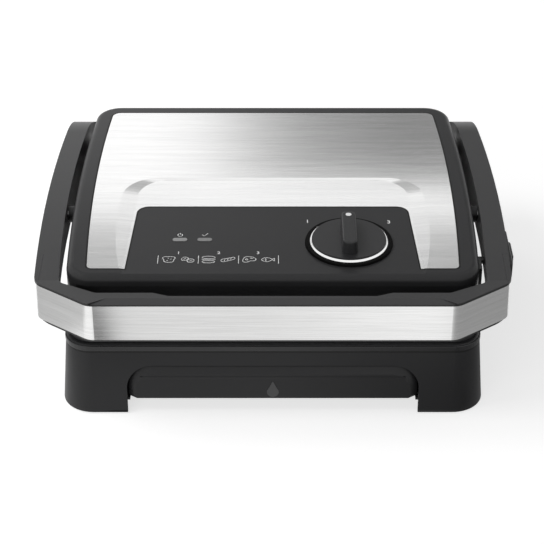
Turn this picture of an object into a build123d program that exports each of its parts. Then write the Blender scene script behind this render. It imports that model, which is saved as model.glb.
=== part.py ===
from build123d import *
import math
import os

# Countertop contact grill: ribbed plates above and below, a lid that floats between two handle arms,
# and a drip tray between the front legs.  Millimetres: X to the right, Y from front to back, Z up.
# The origin lies on the table, under the middle of the grill.

# ---------------------------------------------------------------- shared sizes
RUN = 0.05                 # radial clearance of a pin in its bore
SEAM = 0.25                # clearance between two fitted mouldings
SEAT = 0.1                 # clearance under a piece that rests on another
SHELL = 2.6                # wall of the large mouldings
SHEET = 0.8                # pressed sheet metal
LAP = 1.0                  # overlap of two forms that make one piece, and overrun of a cut
DEEP = 20.0                # overrun of a cut that must clear a corner
TALL = 60.0                # taller than the lid, for upright cuts
FAR = 400.0                # longer than the grill, for cuts that run right through

# ---------------------------------------------------------------- overall sizes
LID_HALF_MIDDLE = 163.8    # half width of the lid at its widest; the whole grill follows it
LID_FRONT = -133.5
LID_BACK = 151.0
LID_HEIGHT = 41.6
BASE_TOP = 64.0

# ---------------------------------------------------------------- base
FOOT_PAD = 1.2             # rubber below the legs
FOOT_INSET = 18.5          # from the base's walls at the table to the middle of a foot
FOOT_LENGTH = 22.0
FOOT_DEPTH = 16.0
FOOT_CORNER = 5.0
BASE_REACH = 5.7           # base beyond the lid, at the table
BASE_FRONT_REACH = 17.5
BASE_BACK_REACH = 6.0
BASE_HALF = LID_HALF_MIDDLE + BASE_REACH
BASE_FRONT = LID_FRONT - BASE_FRONT_REACH
BASE_BACK = LID_BACK + BASE_BACK_REACH
BASE_DRAFT = 4.9           # degrees that the walls lean in
BASE_FRONT_CORNER = 26.0
BASE_BACK_CORNER = 18.0
SHOULDER = 2.6             # rounded shoulder at the top of the housing
RIM_SETBACK = 3.2          # rim stands in from the housing
RIM_RISE = 9.5
RIM_TOP = BASE_TOP + RIM_RISE
RIM_WALL = 3.0
RIM_LIP = 2.4              # thickness of the rim's upper web
RIM_ROUND = 1.4
RIM_NECK = 6.0             # part of the rim inside the housing

ARCH_HALF = 116.0          # half width of the opening between the front legs
ARCH_TOP = 44.4
ARCH_RADIUS = 21.0
ARCH_DEPTH = 22.0          # how far the opening cuts back through the front wall
SIDE_ARCH_INSET = 59.0     # from front and back to the low arches in the sides
SIDE_ARCH_TOP = 9.0
TRAY_DEPTH = 190.0
BAY_STEP = 4.0             # tray's bay is narrower than the arch
BAY_SPARE = 23.0           # bay is deeper than the tray
BAY_HEADROOM = 1.6
BAY_HALF = ARCH_HALF - BAY_STEP
BAY_BACK = BASE_FRONT + TRAY_DEPTH + BAY_SPARE
BAY_ROOF = ARCH_TOP + BAY_HEADROOM
BAY_WALL = 2.0
BAY_SETBACK = 12.0         # bay begins this far behind the base's front
FLOOR_PLATE_Z = 11.0       # underside of the base's under cover
RAIL_Z = 31.0              # top of the tray's rails
RAIL_REACH = 5.0
RAIL_THICK = 2.4
RAIL_SETBACK = 14.0
POST_R = 4.0               # posts on the bay's roof that carry the lower reflector
POST_INSET_SIDE = 22.0
POST_INSET_FRONT = 55.0
POST_INSET_BACK = 22.0
SCREW_R = 1.6
SCREW_HEAD_R = 3.2
SCREW_HEAD = 2.0
SCREW_LENGTH = 10.0
SCREW_HOLE = 12.0
SCREW_BOSS_R = 4.0
SCREW_BOSS = 24.0          # height of a screw's boss
SCREW_WEB = 2.4
SCREW_INSET_SIDE = 15.0
SCREW_INSET_FRONT = 47.0
SCREW_INSET_BACK = 45.0

# ---------------------------------------------------------------- mains lead
CORD_INSET = 65.5          # from the base's left side
CORD_X = CORD_INSET - BASE_HALF
CORD_Z = 30.0
GLAND_NECK_R = 6.5
GLAND_TIP_R = 8.0
GLAND_R = 10.0
GLAND_BORE_R = 3.6
GLAND_HEAD = 4.0
GLAND_NECK = 14.0
GLAND_COLLAR = 2.0
GLAND_GRIP = 4.4           # from the wall's inside to the middle of the collar
CLAMP_INSET = 28.0
CLAMP_HALF = 15.0
CLAMP_DEPTH = 10.0
CLAMP_RISE = 8.0
CLAMP_PLAY = 0.3
CLAMP_WAIST_HALF = 8.0
CLAMP_WAIST_DROP = 9.0
TERMINAL_INSET = 60.0
TERMINAL_HALF = 18.0
TERMINAL_DEPTH = 18.0
TERMINAL_HEIGHT = 14.0
TERMINAL_PITCH = 11.0
TERMINAL_WIRE_R = 2.2
TERMINAL_WIRE_Z = 9.0
TERMINAL_SCREW_R = 1.8
TERMINAL_SCREW_Y = 4.5
TERMINAL_SCREW_DEPTH = 6.0

# ---------------------------------------------------------------- drip tray
TRAY_FRONT_GAP = 0.9
TRAY_BOTTOM = 14.4
TRAY_WALL = 2.0
TRAY_CHAMFER = 7.0         # height of the sloping strip round the tray's front
TRAY_CHAMFER_SIDE = 5.25
TRAY_CHAMFER_DEPTH = 4.0
TRAY_CHAMFER_ROUND = 4.0
TRAY_FOOT_ROUND = 2.4      # rounding of the front's lower corners
TRAY_PANEL = 6.0           # thickness of the front panel
TRAY_SETBACK = 1.5         # pan behind the panel's face
TRAY_SIDE = 7.0            # space between the pan and the bay's side
TRAY_HALF = BAY_HALF - TRAY_SIDE
TRAY_CORNER = 10.0
TRAY_RIM_Z = 34.2
TRAY_RIM_SETBACK = 16.0
TRAY_RIM_PLAY = 0.4        # flange above its rail
TRAY_GUIDE = 1.0           # flange beside the bay's wall

# ---------------------------------------------------------------- cooking plates
UPPER_SIDE_INSET = 16.8
UPPER_FRONT_INSET = 17.5
UPPER_BACK_INSET = 34.0
UPPER_HALF = LID_HALF_MIDDLE - UPPER_SIDE_INSET
UPPER_FRONT = LID_FRONT + UPPER_FRONT_INSET
UPPER_BACK = LID_BACK - UPPER_BACK_INSET
LOWER_SIDE_REACH = 3.0     # lower plate beyond the upper one
LOWER_FRONT_REACH = 13.0
LOWER_BACK_REACH = 4.5
LOWER_HALF = UPPER_HALF + LOWER_SIDE_REACH
LOWER_FRONT = UPPER_FRONT - LOWER_FRONT_REACH
LOWER_BACK = UPPER_BACK + LOWER_BACK_REACH
LOWER_PROUD = 1.7          # lower plate's ribs above the rim
LOWER_RIB_TOP = RIM_TOP + LOWER_PROUD
PLATE_GAP = 6.0            # space left between the plates' ribs
PLATE_CORNER = 12.0
PLATE_PLAY = 0.8           # gap round a plate in its frame
UPPER_PLAY = 1.0
LEDGE = 4.0                # ledge under the lower plate
PLATE_FLOOR = 4.0          # cast plate under the ribs
PLATE_RIM = 3.0            # width of the raised edge
LOWER_LIP = 1.0            # raised edge above the ribs
UPPER_LIP = 0.6
RIB_PITCH = 13.0
RIB_WIDTH = 4.0
RIB_FLANK = 1.0            # slope of a rib's side
RIB_HEIGHT = 3.6
RIB_ROOT = 0.2
RIB_INSET_LOWER = 16.0
RIB_INSET_UPPER = 12.0
RIB_INSET_BACK = 10.0
DRAIN_HALF = 14.0
DRAIN_DEPTH = 7.0
DRAIN_INSET = 3.0
DRAIN_CLEAR = 5.5          # opening in the bay's roof round the spout
SPOUT_WALL = 2.0
SPOUT_DROP = 6.0

# ---------------------------------------------------------------- heating
HEATER_R = 3.3
HEATER_SIDE_INSET = 32.0
HEATER_FRONT_INSET = 25.0
HEATER_BACK_INSET = 25.0
HEATER_TURN = 16.0
HEATER_RETURN = 26.0       # shorter leg of the element
HEATER_LOOP = 52.0         # from the outer to the inner bend
HEATER_INNER_SHARE = 0.42  # inner legs, as a share of the element's half width
REFLECTOR_CORNER = 14.0
REFLECTOR_DEPTH = 7.5
REFLECTOR_SIDE_INSET = 10.5
REFLECTOR_FRONT_INSET = 15.0
REFLECTOR_BACK_INSET = 9.5
REFLECTOR_UPPER_INSET = 8.0
LOWER_REFLECTOR_DROP = 23.2
LOWER_REFLECTOR_Z = LOWER_RIB_TOP - LOWER_REFLECTOR_DROP
UPPER_PLATE_TOP = LOWER_RIB_TOP + PLATE_GAP + RIB_HEIGHT + PLATE_FLOOR
UPPER_REFLECTOR_RISE = 12.2
UPPER_REFLECTOR_Z = UPPER_PLATE_TOP + UPPER_REFLECTOR_RISE
FUSE_R = 3.0
FUSE_HALF = 12.0
FUSE_DROP = 5.0
FUSE_STRAP_HALF = 4.0
FUSE_STRAP_R = 3.6
FUSE_LEAD_R = 0.8
FUSE_LEAD_HALF = 26.0
FUSE_BEHIND = 20.0
FUSE_Y = BAY_BACK + FUSE_BEHIND

# ---------------------------------------------------------------- lid
LID_BOW_FRONT = 3.2        # lid is narrower by this at its front corners
LID_BOW_BACK = 6.0
LID_HALF_FRONT = LID_HALF_MIDDLE - LID_BOW_FRONT
LID_HALF_BACK = LID_HALF_MIDDLE - LID_BOW_BACK
LID_FRONT_CORNER = 20.0
LID_BACK_CORNER = 22.0
LID_LIFT = 8.5             # lid's lower edge above the base's rim
LID_BOTTOM = RIM_TOP + LID_LIFT
LID_TOP = LID_BOTTOM + LID_HEIGHT
LID_CROWN_Y = 14.0         # where the lid is highest
LID_CROWN_R = 2600.0
LID_EDGE_ROUND = 6.0
SKIRT_HEIGHT = 11.0
LID_SPLIT = LID_BOTTOM + SKIRT_HEIGHT
SKIRT_INSET = 0.8
SKIRT_FLOOR = 2.4
SKIRT_LIP = 4.0            # spigot of the skirt inside the frame
SKIRT_LIP_WALL = 2.0
BROW_DROP = 13.1
BROW_Z = LID_TOP - BROW_DROP
BROW_REACH = 3.5
DECK = 2.4                 # moulded deck under the steel cover
PANEL_UNDER = 3.5          # depth of the deck's underside below the panel
STUD_R = 4.5               # shouldered bosses between the deck and the upper plate
STUD_SHOULDER = 2.0
STUD_INSET_SIDE = 53.0
STUD_INSET_FRONT = 54.0
STUD_INSET_BACK = 83.0

COVER_INSET_FRONT = 10.5
COVER_INSET_BACK = 14.8
COVER_INSET_SIDE = 14.8
COVER_BOW_FRONT = 3.7
COVER_BOW_BACK = 4.7
COVER_FRONT = LID_FRONT + COVER_INSET_FRONT
COVER_BACK = LID_BACK - COVER_INSET_BACK
COVER_HALF_MIDDLE = LID_HALF_MIDDLE - COVER_INSET_SIDE
COVER_HALF_FRONT = COVER_HALF_MIDDLE - COVER_BOW_FRONT
COVER_HALF_BACK = COVER_HALF_MIDDLE - COVER_BOW_BACK
COVER_FRONT_CORNER = 4.5
COVER_BACK_CORNER = 8.0
COVER_THICK = 1.0
COVER_GAP = 0.7            # dark line round the cover

PANEL_LEG = 30.7           # steel beside the panel at its front edge
PANEL_TAPER = 5.0
PANEL_LENGTH = 91.0
PANEL_HALF_FRONT = COVER_HALF_FRONT - PANEL_LEG
PANEL_HALF_BACK = PANEL_HALF_FRONT - PANEL_TAPER
PANEL_BACK = COVER_FRONT + PANEL_LENGTH
PANEL_CORNER = 9.0
PANEL_GAP = 0.6
PANEL_SLOPE = 1.1          # degrees that the control panel leans to the front
PANEL_DROP = 4.0
PANEL_FRONT_Z = LID_TOP - PANEL_DROP
RECESS_BEHIND = 43.5       # recess beyond the panel's back edge
RECESS_BACK = PANEL_BACK + RECESS_BEHIND
RECESS_BESIDE_BACK = 1.4
RECESS_BESIDE_FRONT = 2.6
RECESS_HALF_BACK = PANEL_HALF_BACK + RECESS_BESIDE_BACK
RECESS_HALF_FRONT = PANEL_HALF_FRONT + RECESS_BESIDE_FRONT
RECESS_CORNER = 26.0
RECESS_SIDE_RUN = 10.0     # width of the soft slope beside the recess
RECESS_BACK_RUN = 1.4
RECESS_RISE = 3.0          # height over which the recess is drawn before it meets the crown

# ---------------------------------------------------------------- handle
ARM_GAP_FRONT = 5.3        # space between the lid's side and the arm
ARM_GAP_MIDDLE = 6.5
ARM_GAP_BACK = 4.2
ARM_WIDTH_FRONT = 19.3
ARM_WIDTH_MIDDLE = 17.8
ARM_WIDTH_BACK = 16.9
INNER_HALF_FRONT = LID_HALF_FRONT + ARM_GAP_FRONT
INNER_HALF_MIDDLE = LID_HALF_MIDDLE + ARM_GAP_MIDDLE
INNER_HALF_BACK = LID_HALF_BACK + ARM_GAP_BACK
HANDLE_HALF_FRONT = INNER_HALF_FRONT + ARM_WIDTH_FRONT
HANDLE_HALF_MIDDLE = INNER_HALF_MIDDLE + ARM_WIDTH_MIDDLE
HANDLE_HALF_BACK = INNER_HALF_BACK + ARM_WIDTH_BACK
BAR_GAP = 14.0             # space between the lid's front and the bar
BAR_DEPTH = 15.5
BAR_BACK = LID_FRONT - BAR_GAP
HANDLE_FRONT = BAR_BACK - BAR_DEPTH
HANDLE_CHAMFER = 43.4      # width of the slanting corner
HANDLE_FLAT_HALF = HANDLE_HALF_FRONT - HANDLE_CHAMFER
INNER_CHAMFER = 29.4
BAR_INNER_HALF = INNER_HALF_FRONT - INNER_CHAMFER
CORNER_SETBACK = 1.5       # arm's outer corner behind the lid's front
INNER_SETBACK = 1.0
HANDLE_CORNER_Y = LID_FRONT + CORNER_SETBACK
INNER_CORNER_Y = LID_FRONT + INNER_SETBACK
HANDLE_MIDDLE_Y = -26.0
INNER_MIDDLE_Y = -11.0
HANDLE_BACK_REACH = 13.0
INNER_BACK_REACH = 4.5
HANDLE_BACK = LID_BACK + HANDLE_BACK_REACH
INNER_BACK = LID_BACK + INNER_BACK_REACH
HANDLE_BACK_CORNER = 22.0
INNER_BACK_CORNER = 27.0
HANDLE_BEND = 14.0
INNER_BEND = 8.0
HANDLE_WALL = 2.2
FRONT_BELOW_LID = 9.7      # handle's top under the lid's crest
MIDDLE_BELOW_LID = 5.2
BACK_BELOW_LID = 6.6
HANDLE_TOP_FRONT = LID_TOP - FRONT_BELOW_LID
HANDLE_TOP_MIDDLE = LID_TOP - MIDDLE_BELOW_LID
HANDLE_TOP_BACK = LID_TOP - BACK_BELOW_LID
HANDLE_CREST_Y = -10.0
TOP_BACK_INSET = 47.0
HANDLE_TOP_BACK_Y = LID_BACK - TOP_BACK_INSET
BAR_HEIGHT = 35.1
HANDLE_LOW = HANDLE_TOP_FRONT - BAR_HEIGHT
ARM_HEIGHT_FRONT = 12.9
ARM_HEIGHT_MIDDLE = 25.8
ARM_HEIGHT_BACK = 30.0
ARM_LOW_FRONT = HANDLE_TOP_FRONT - ARM_HEIGHT_FRONT
ARM_LOW_MIDDLE = HANDLE_TOP_MIDDLE - ARM_HEIGHT_MIDDLE
ARM_LOW_BACK = HANDLE_TOP_BACK - ARM_HEIGHT_BACK
ARM_LOW_MIDDLE_Y = -18.0
ARM_FRONT_RUN = 50.0       # from the handle's front to the arm's underside
BAR_UNDER_RUN = 26.0       # depth of the bar's underside
ARM_HEEL_RUN = 30.0        # from the hinge to the straight underside
ARM_UNDER_ROUND = 9.0
ARM_END_R = 15.0           # round end of the arm about the hinge
CURL_HEIGHT = 22.5         # part that wraps round the lid's rear corner
CURL_LOW = HANDLE_TOP_BACK - CURL_HEIGHT
CURL_OVERLAP = 1.8
CURL_HALF = LID_HALF_BACK - CURL_OVERLAP
HINGE_ROOM = 8.8           # arm's inner face beside the hinge, from the lid's rear corner
ARM_INNER_AT_HINGE = LID_HALF_BACK + HINGE_ROOM
HINGE_ROOM_FRONT = 60.0
SCOOP_HALF = 92.0
SCOOP_DEPTH = 4.4
SCOOP_RUN = 12.0
SCOOP_HEIGHT = 14.9
NOSE_INSET = 14.8
NOSE_HALF = HANDLE_FLAT_HALF - NOSE_INSET
NOSE_WIDTH = 8.0           # sloping front edge on top of the bar
NOSE_DROP = 1.6
COVER_PLATE = 2.0          # under covers of the handle
COVER_SPLIT_RUN = 51.0
COVER_SPLIT = HANDLE_FRONT + COVER_SPLIT_RUN
HANDLE_SCREW_SPACING = 80.0
HANDLE_SCREW_IN = 7.8      # from the handle's front to the screws
HANDLE_SCREW_R = 2.8
HANDLE_SCREW_HEAD = 1.4

BAND_EDGE_TOP = 1.2        # handle above and below the steel band
BAND_EDGE_BOTTOM = 1.6
BAND_TOP = HANDLE_TOP_FRONT - BAND_EDGE_TOP
BAND_BOTTOM = HANDLE_LOW + BAND_EDGE_BOTTOM
BAND_WRAP = 9.5            # band's ends behind the lid's front
BAND_END = LID_FRONT + BAND_WRAP
BAND_PLAY = 0.1
CAP_WIDTH = 3.6
CAP_HEIGHT = 7.9
CAP_FRONT_RUN = 2.5
CAP_BACK_RUN = 38.5
CAP_INNER = HANDLE_HALF_FRONT - CAP_WIDTH
CAP_LOW = HANDLE_TOP_FRONT - CAP_HEIGHT
CAP_FRONT = LID_FRONT + CAP_FRONT_RUN
CAP_BACK = LID_FRONT + CAP_BACK_RUN

# ---------------------------------------------------------------- hinge and lid pivot
HINGE_INSET = 3.0
HINGE_RISE = 5.5
HINGE_Y = LID_BACK - HINGE_INSET
HINGE_Z = RIM_TOP + HINGE_RISE
HINGE_PIN_R = 4.0
PIN_HEAD_EXTRA = 2.0
PIN_HEAD = 2.2
PIN_CLEAR = 0.2
EAR_GAP = 0.4              # ear beside the lid's rear corner
EAR_X = LID_HALF_BACK + EAR_GAP
EAR_THICK = 3.0
EAR_R = 9.0
EAR_SETBACK = 16.0         # ear's post in front of the hinge
EAR_KNEE = 8.0             # bend of the ear below the housing's top
EAR_FOOT = 16.0
EAR_FOOT_HALF = 8.0
EAR_SLOT_FRONT = 28.0
EAR_SLOT_BACK = 12.0
BUSH_EXTRA = 3.5
BUSH_GAP = 0.4
ARM_COVER_GAP = 19.0
ARM_COVER_END = HINGE_Y - ARM_COVER_GAP
PIVOT_Y = -19.0
PIVOT_DROP = 16.6
PIVOT_Z = LID_TOP - PIVOT_DROP
PIVOT_PIN_R = 3.0
PIVOT_BOSS_R = 7.0
PIVOT_SIDE_PLAY = 0.8      # between the lid's boss and the arm
PIVOT_BOSS_DEPTH = 13.0    # boss inside the lid's side
PIVOT_PIN_DEPTH = 12.0
PIVOT_BORE_DEPTH = 23.8
ARM_BAR_INSET = 2.7
ARM_BAR_X = INNER_HALF_MIDDLE + ARM_BAR_INSET
ARM_BAR_THICK = 3.0
ARM_BAR_END_R = 7.5
ARM_BAR_LAP_R = 6.0
ARM_BAR_PIVOT_R = 7.0
ARM_BAR_TIP_R = 4.5
ARM_BAR_TIP_RISE = 0.6
ARM_BAR_TIP_GAP = 16.0     # bar ends behind the lock's tongue
ARM_BAR_LAP_RUN = 42.0     # from the hinge to the weld of the bar's two lengths
ARM_BAR_LAP_DROP = 4.0
PIN_BORE_END = 3.5

# ---------------------------------------------------------------- side lock
LOCK_RUN = 57.5            # from the lid's front to the middle of the button at rest
LOCK_BUTTON_Y = LID_FRONT + LOCK_RUN
LOCK_DROP = 4.0
LOCK_Z = PIVOT_Z - LOCK_DROP
LOCK_TRAVEL = 10.0
LOCK_AHEAD = 24.0
LOCK_BEHIND = 26.0
LOCK_FRONT = LOCK_BUTTON_Y - LOCK_AHEAD
LOCK_BACK = LOCK_BUTTON_Y + LOCK_BEHIND
LOCK_HALF_HEIGHT = 8.0
LOCK_BEZEL = 2.2
LOCK_BEZEL_ROOT = 3.0
LOCK_BEZEL_ROUND = 3.0
LOCK_BEZEL_EDGE = 1.2
LOCK_WINDOW_HALF = 6.0
LOCK_WINDOW_PLAY = 0.6
LOCK_BUTTON_LENGTH = 21.0
LOCK_BUTTON_HALF_HEIGHT = 5.5
LOCK_BUTTON_REACH = 4.4
LOCK_BUTTON_ROUND = 1.6
LOCK_BUTTON_LIFT = 0.3
GRIP_GROOVES = 5
GRIP_GROOVE_PITCH = 3.2
GRIP_GROOVE_WIDTH = 1.2
GRIP_GROOVE_LENGTH = 8.0
GRIP_GROOVE_DEPTH = 0.5
LOCK_TAB_AHEAD = 8.0       # tongue near the button's front end
LOCK_TAB_Y = LOCK_BUTTON_Y - LOCK_TAB_AHEAD
LOCK_TAB_HALF_WIDTH = 3.0
LOCK_TAB_HALF_HEIGHT = 1.6
LOCK_TAB_PLAY = 0.4
LOCK_TAB_END = 0.2
CATCH_INSET = 0.8
CATCH_X = LID_HALF_MIDDLE - CATCH_INSET
CATCH_THICK = 2.2
CATCH_FOOT = 9.5
CATCH_AHEAD = 15.0         # catch in front of the tongue at rest
CATCH_LENGTH = 8.0
CATCH_BACK = LOCK_TAB_Y - CATCH_AHEAD
CATCH_FRONT = CATCH_BACK - CATCH_LENGTH
CATCH_NOSE = 7.5
CATCH_NOSE_HEIGHT = 4.5
CATCH_RISE = 7.5
CATCH_TOP = LOCK_Z + CATCH_RISE
CATCH_ROUND = 1.5

# ---------------------------------------------------------------- knob, thermostat and lamps
KNOB_INSET = 54.1          # from the panel's right front corner
KNOB_RUN = 37.4            # from the panel's front edge
KNOB_X = PANEL_HALF_FRONT - KNOB_INSET
KNOB_Y = COVER_FRONT + KNOB_RUN
KNOB_SKIRT_R = 35.0
KNOB_SKIRT_H = 1.6
KNOB_SKIRT_WALL = 11.6
KNOB_SKIRT_FLARE = 0.6
KNOB_RING_R = 31.2
KNOB_RING_WIDTH = 1.6
KNOB_RING_H = 3.2
KNOB_RING_FLARE = 0.4
KNOB_RING_LEAN = 0.3
KNOB_CAP_R = 29.3
KNOB_CAP_H = 2.6
KNOB_FILM = 0.02           # parting line between the knob's pieces
KNOB_LIFT = 0.4            # running gap under the knob
GRIP_WIDTH = 11.0
GRIP_LENGTH = 46.0
GRIP_HEIGHT = 13.0
GRIP_SINK = 0.5
GRIP_FLARE = 2.0
GRIP_FLARE_LENGTH = 1.5
GRIP_CORNER = 4.5
GRIP_FOOT_CORNER = 5.0
GRIP_ROUND = 1.2
DOT_R = 2.4
DOT_FIT = 0.05
DOT_DEPTH = 0.6
DOT_INSET = 5.0
DOT_PROUD = 0.05
SHAFT_R = 3.0
SHAFT_PLAY = 1.5
SOCKET_DEPTH = 8.0
SPINDLE_DEPTH = 13.0       # spindle below the panel
SPINDLE_RISE = 6.0         # spindle above the panel
THERMOSTAT_DROP = 2.0
THERMOSTAT_BODY = 12.0
THERMOSTAT_WIDTH = 24.0
THERMOSTAT_LENGTH = 30.0
THERMOSTAT_NECK_R = 7.0
SPADE_WIDTH = 6.0
SPADE_LENGTH = 8.0
SPADE_Y = 18.0
SPADE_DROP = 8.0
BRACKET_WIDTH = 52.0
BRACKET_DEPTH = 14.0
BRACKET_SHEET = 1.2

LENS_LENGTH = 11.7
LENS_WIDTH = 4.6
LENS_RUN = 42.0            # from the panel's front edge
LENS_INSET = 40.5          # from the panel's left front corner
LENS_PITCH = 19.8
LENS_Y = COVER_FRONT + LENS_RUN
LENS_X = (LENS_INSET - PANEL_HALF_FRONT, LENS_INSET + LENS_PITCH - PANEL_HALF_FRONT)
LENS_RISE = 0.3
LENS_THICK = 3.8
LENS_FIT = 0.15
LAMP_R = 2.4
LAMP_LENGTH = 10.0
LAMP_DROP = 2.6
LAMP_TIP = 1.8
HOLDER_DROP = 12.0
HOLDER_THICK = 3.0
HOLDER_HALF = 6.0
HOLDER_REACH = 7.0
HOLDER_LEG_HALF = 2.0


# ---------------------------------------------------------------- shared shapes
def bowed_outline(front, back, half_front, half_middle, half_back, front_corner, back_corner):
    """Plan outline with straight ends, gently bowed sides and rounded corners."""
    middle = (front + back) / 2
    right = ThreePointArc((half_front, front), (half_middle, middle), (half_back, back))
    left = ThreePointArc((-half_back, back), (-half_middle, middle), (-half_front, front))
    rear = Line(right @ 1, left @ 0)
    nose = Line(left @ 1, right @ 0)
    face = make_face([right, rear, left, nose])
    face = fillet([v for v in face.vertices() if v.Y < middle], front_corner)
    return fillet([v for v in face.vertices() if v.Y > back - SEAT], back_corner)


def box_between(low, high):
    """Box given by its lowest and highest corner."""
    size = [b - a for a, b in zip(low, high)]
    centre = [(a + b) / 2 for a, b in zip(low, high)]
    return Pos(*centre) * Box(*size)


def upright(outline, low, height=TALL):
    """Upright block on a plan outline."""
    return extrude(Plane.XY.offset(low) * outline, height)


def mirrored(shape):
    """The same piece on the other side of the grill."""
    return mirror(shape, Plane.YZ)


def rod_x(radius, x0, x1, y, z):
    """Round bar along X."""
    return Pos((x0 + x1) / 2, y, z) * Rot(0, 90, 0) * Cylinder(radius, x1 - x0)


def rod_y(radius, length, x, y, z):
    """Round bar along Y, centred at a point."""
    return Pos(x, y, z) * Rot(90, 0, 0) * Cylinder(radius, length)


def side_prism(face, half=FAR):
    """Extrude a face drawn as (Y, Z) to both sides of the middle plane."""
    return extrude(Plane.YZ * face, half, both=True)


def front_prism(face, y0, y1):
    """Extrude a face drawn as (X, Z) from y0 to y1."""
    plane = Plane(origin=(0, y0, 0), x_dir=(1, 0, 0), z_dir=(0, -1, 0))
    return extrude(plane * face, y0 - y1)


def link_plate(points, radii, x0, thick):
    """Flat plate along X whose outline wraps a chain of discs given as (y, z)."""
    outline = None
    for start, end, r0, r1 in zip(points[:-1], points[1:], radii[:-1], radii[1:]):
        discs = [Edge.make_circle(r0, Plane((start[0], start[1], 0)))]
        discs.append(Edge.make_circle(r1, Plane((end[0], end[1], 0))))
        piece = make_hull(discs)
        outline = piece if outline is None else outline + piece
    return extrude(Plane.YZ.offset(x0) * outline, thick)


def crown_cutter(top):
    """Everything below the lid's crowned top, lowered or raised to pass through height top."""
    reach = FAR / 2
    drop = LID_CROWN_R - math.sqrt(LID_CROWN_R ** 2 - reach ** 2)
    back = LID_CROWN_Y + reach
    front = LID_CROWN_Y - reach
    arc = ThreePointArc((front, top - drop), (LID_CROWN_Y, top), (back, top - drop))
    floor = Polyline(arc @ 1, (back, 0), (front, 0), arc @ 0)
    return side_prism(make_face([arc, floor]))


def base_outline(z, inset=0.0):
    """Plan of the drafted base at height z."""
    lean = z * math.tan(math.radians(BASE_DRAFT)) + inset
    half = BASE_HALF - lean
    front = BASE_FRONT + lean
    back = BASE_BACK - lean
    face = make_face(Polyline((-half, front), (half, front), (half, back), (-half, back), close=True))
    face = fillet([v for v in face.vertices() if v.Y < 0], BASE_FRONT_CORNER - lean)
    return fillet([v for v in face.vertices() if v.Y > back - SEAT], BASE_BACK_CORNER - lean)


def drafted(z0, z1, inset=0.0):
    """Drafted block between two heights of the base."""
    return loft([Plane.XY.offset(z) * base_outline(z, inset) for z in (z0, z1)])


def lid_outline(inset=0.0):
    """Plan of the lid, drawn in by inset all round."""
    return bowed_outline(
        LID_FRONT + inset, LID_BACK - inset, LID_HALF_FRONT - inset, LID_HALF_MIDDLE - inset,
        LID_HALF_BACK - inset, LID_FRONT_CORNER - inset, LID_BACK_CORNER - inset)


def brow_outline(inset=0.0):
    """Plan of the lid below its overhanging front edge."""
    return bowed_outline(
        LID_FRONT + BROW_REACH + inset, LID_BACK - inset, LID_HALF_FRONT - inset, LID_HALF_MIDDLE - inset,
        LID_HALF_BACK - inset, LID_FRONT_CORNER - inset, LID_BACK_CORNER - inset)


def cover_outline(grow=0.0):
    """Plan of the steel cover, let out by grow all round."""
    return bowed_outline(
        COVER_FRONT - grow, COVER_BACK + grow, COVER_HALF_FRONT + grow, COVER_HALF_MIDDLE + grow,
        COVER_HALF_BACK + grow, COVER_FRONT_CORNER + grow, COVER_BACK_CORNER + grow)


def tongue_outline(back, half_back, half_front, front, corner, grow=0.0):
    """Plan of the control panel or of the recess round it: open to the front, rounded at the back."""
    points = [(-half_front - grow, front), (half_front + grow, front)]
    points += [(half_back + grow, back + grow), (-half_back - grow, back + grow)]
    face = make_face(Polyline(*points, close=True))
    return fillet([v for v in face.vertices() if v.Y > back - LAP], corner + grow)


def panel_outline(grow=0.0):
    """Plan of the control panel."""
    return tongue_outline(
        PANEL_BACK, PANEL_HALF_BACK, PANEL_HALF_FRONT, COVER_FRONT - 6 * LAP, PANEL_CORNER, grow)


def plate_outline(front, back, half, grow=0.0):
    """Rounded rectangle of a cooking plate."""
    rectangle = RectangleRounded(2 * (half + grow), back - front + 2 * grow, PLATE_CORNER + grow)
    return Pos(0, (front + back) / 2) * rectangle


def lower_plan(grow=0.0):
    return plate_outline(LOWER_FRONT, LOWER_BACK, LOWER_HALF, grow)


def upper_plan(grow=0.0):
    return plate_outline(UPPER_FRONT, UPPER_BACK, UPPER_HALF, grow)


def arch_outline(half, top, radius, bottom):
    """Opening between the front legs, drawn as (X, Z)."""
    face = make_face(Polyline((-half, bottom), (half, bottom), (half, top), (-half, top), close=True))
    return fillet([v for v in face.vertices() if v.Y > top - SEAT], radius)


# ---------------------------------------------------------------- base pieces
def screw_spots():
    """Places of the under cover's screws."""
    half = BASE_HALF - SCREW_INSET_SIDE
    rows = (BASE_FRONT + SCREW_INSET_FRONT, BASE_BACK - SCREW_INSET_BACK)
    return [(x, y) for x in (-half, half) for y in rows]


def post_spots():
    """Places of the posts under the lower reflector."""
    half = BAY_HALF - POST_INSET_SIDE
    rows = (BASE_FRONT + POST_INSET_FRONT, BAY_BACK - POST_INSET_BACK)
    return [(x, y) for x in (-half, half) for y in rows]


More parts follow.
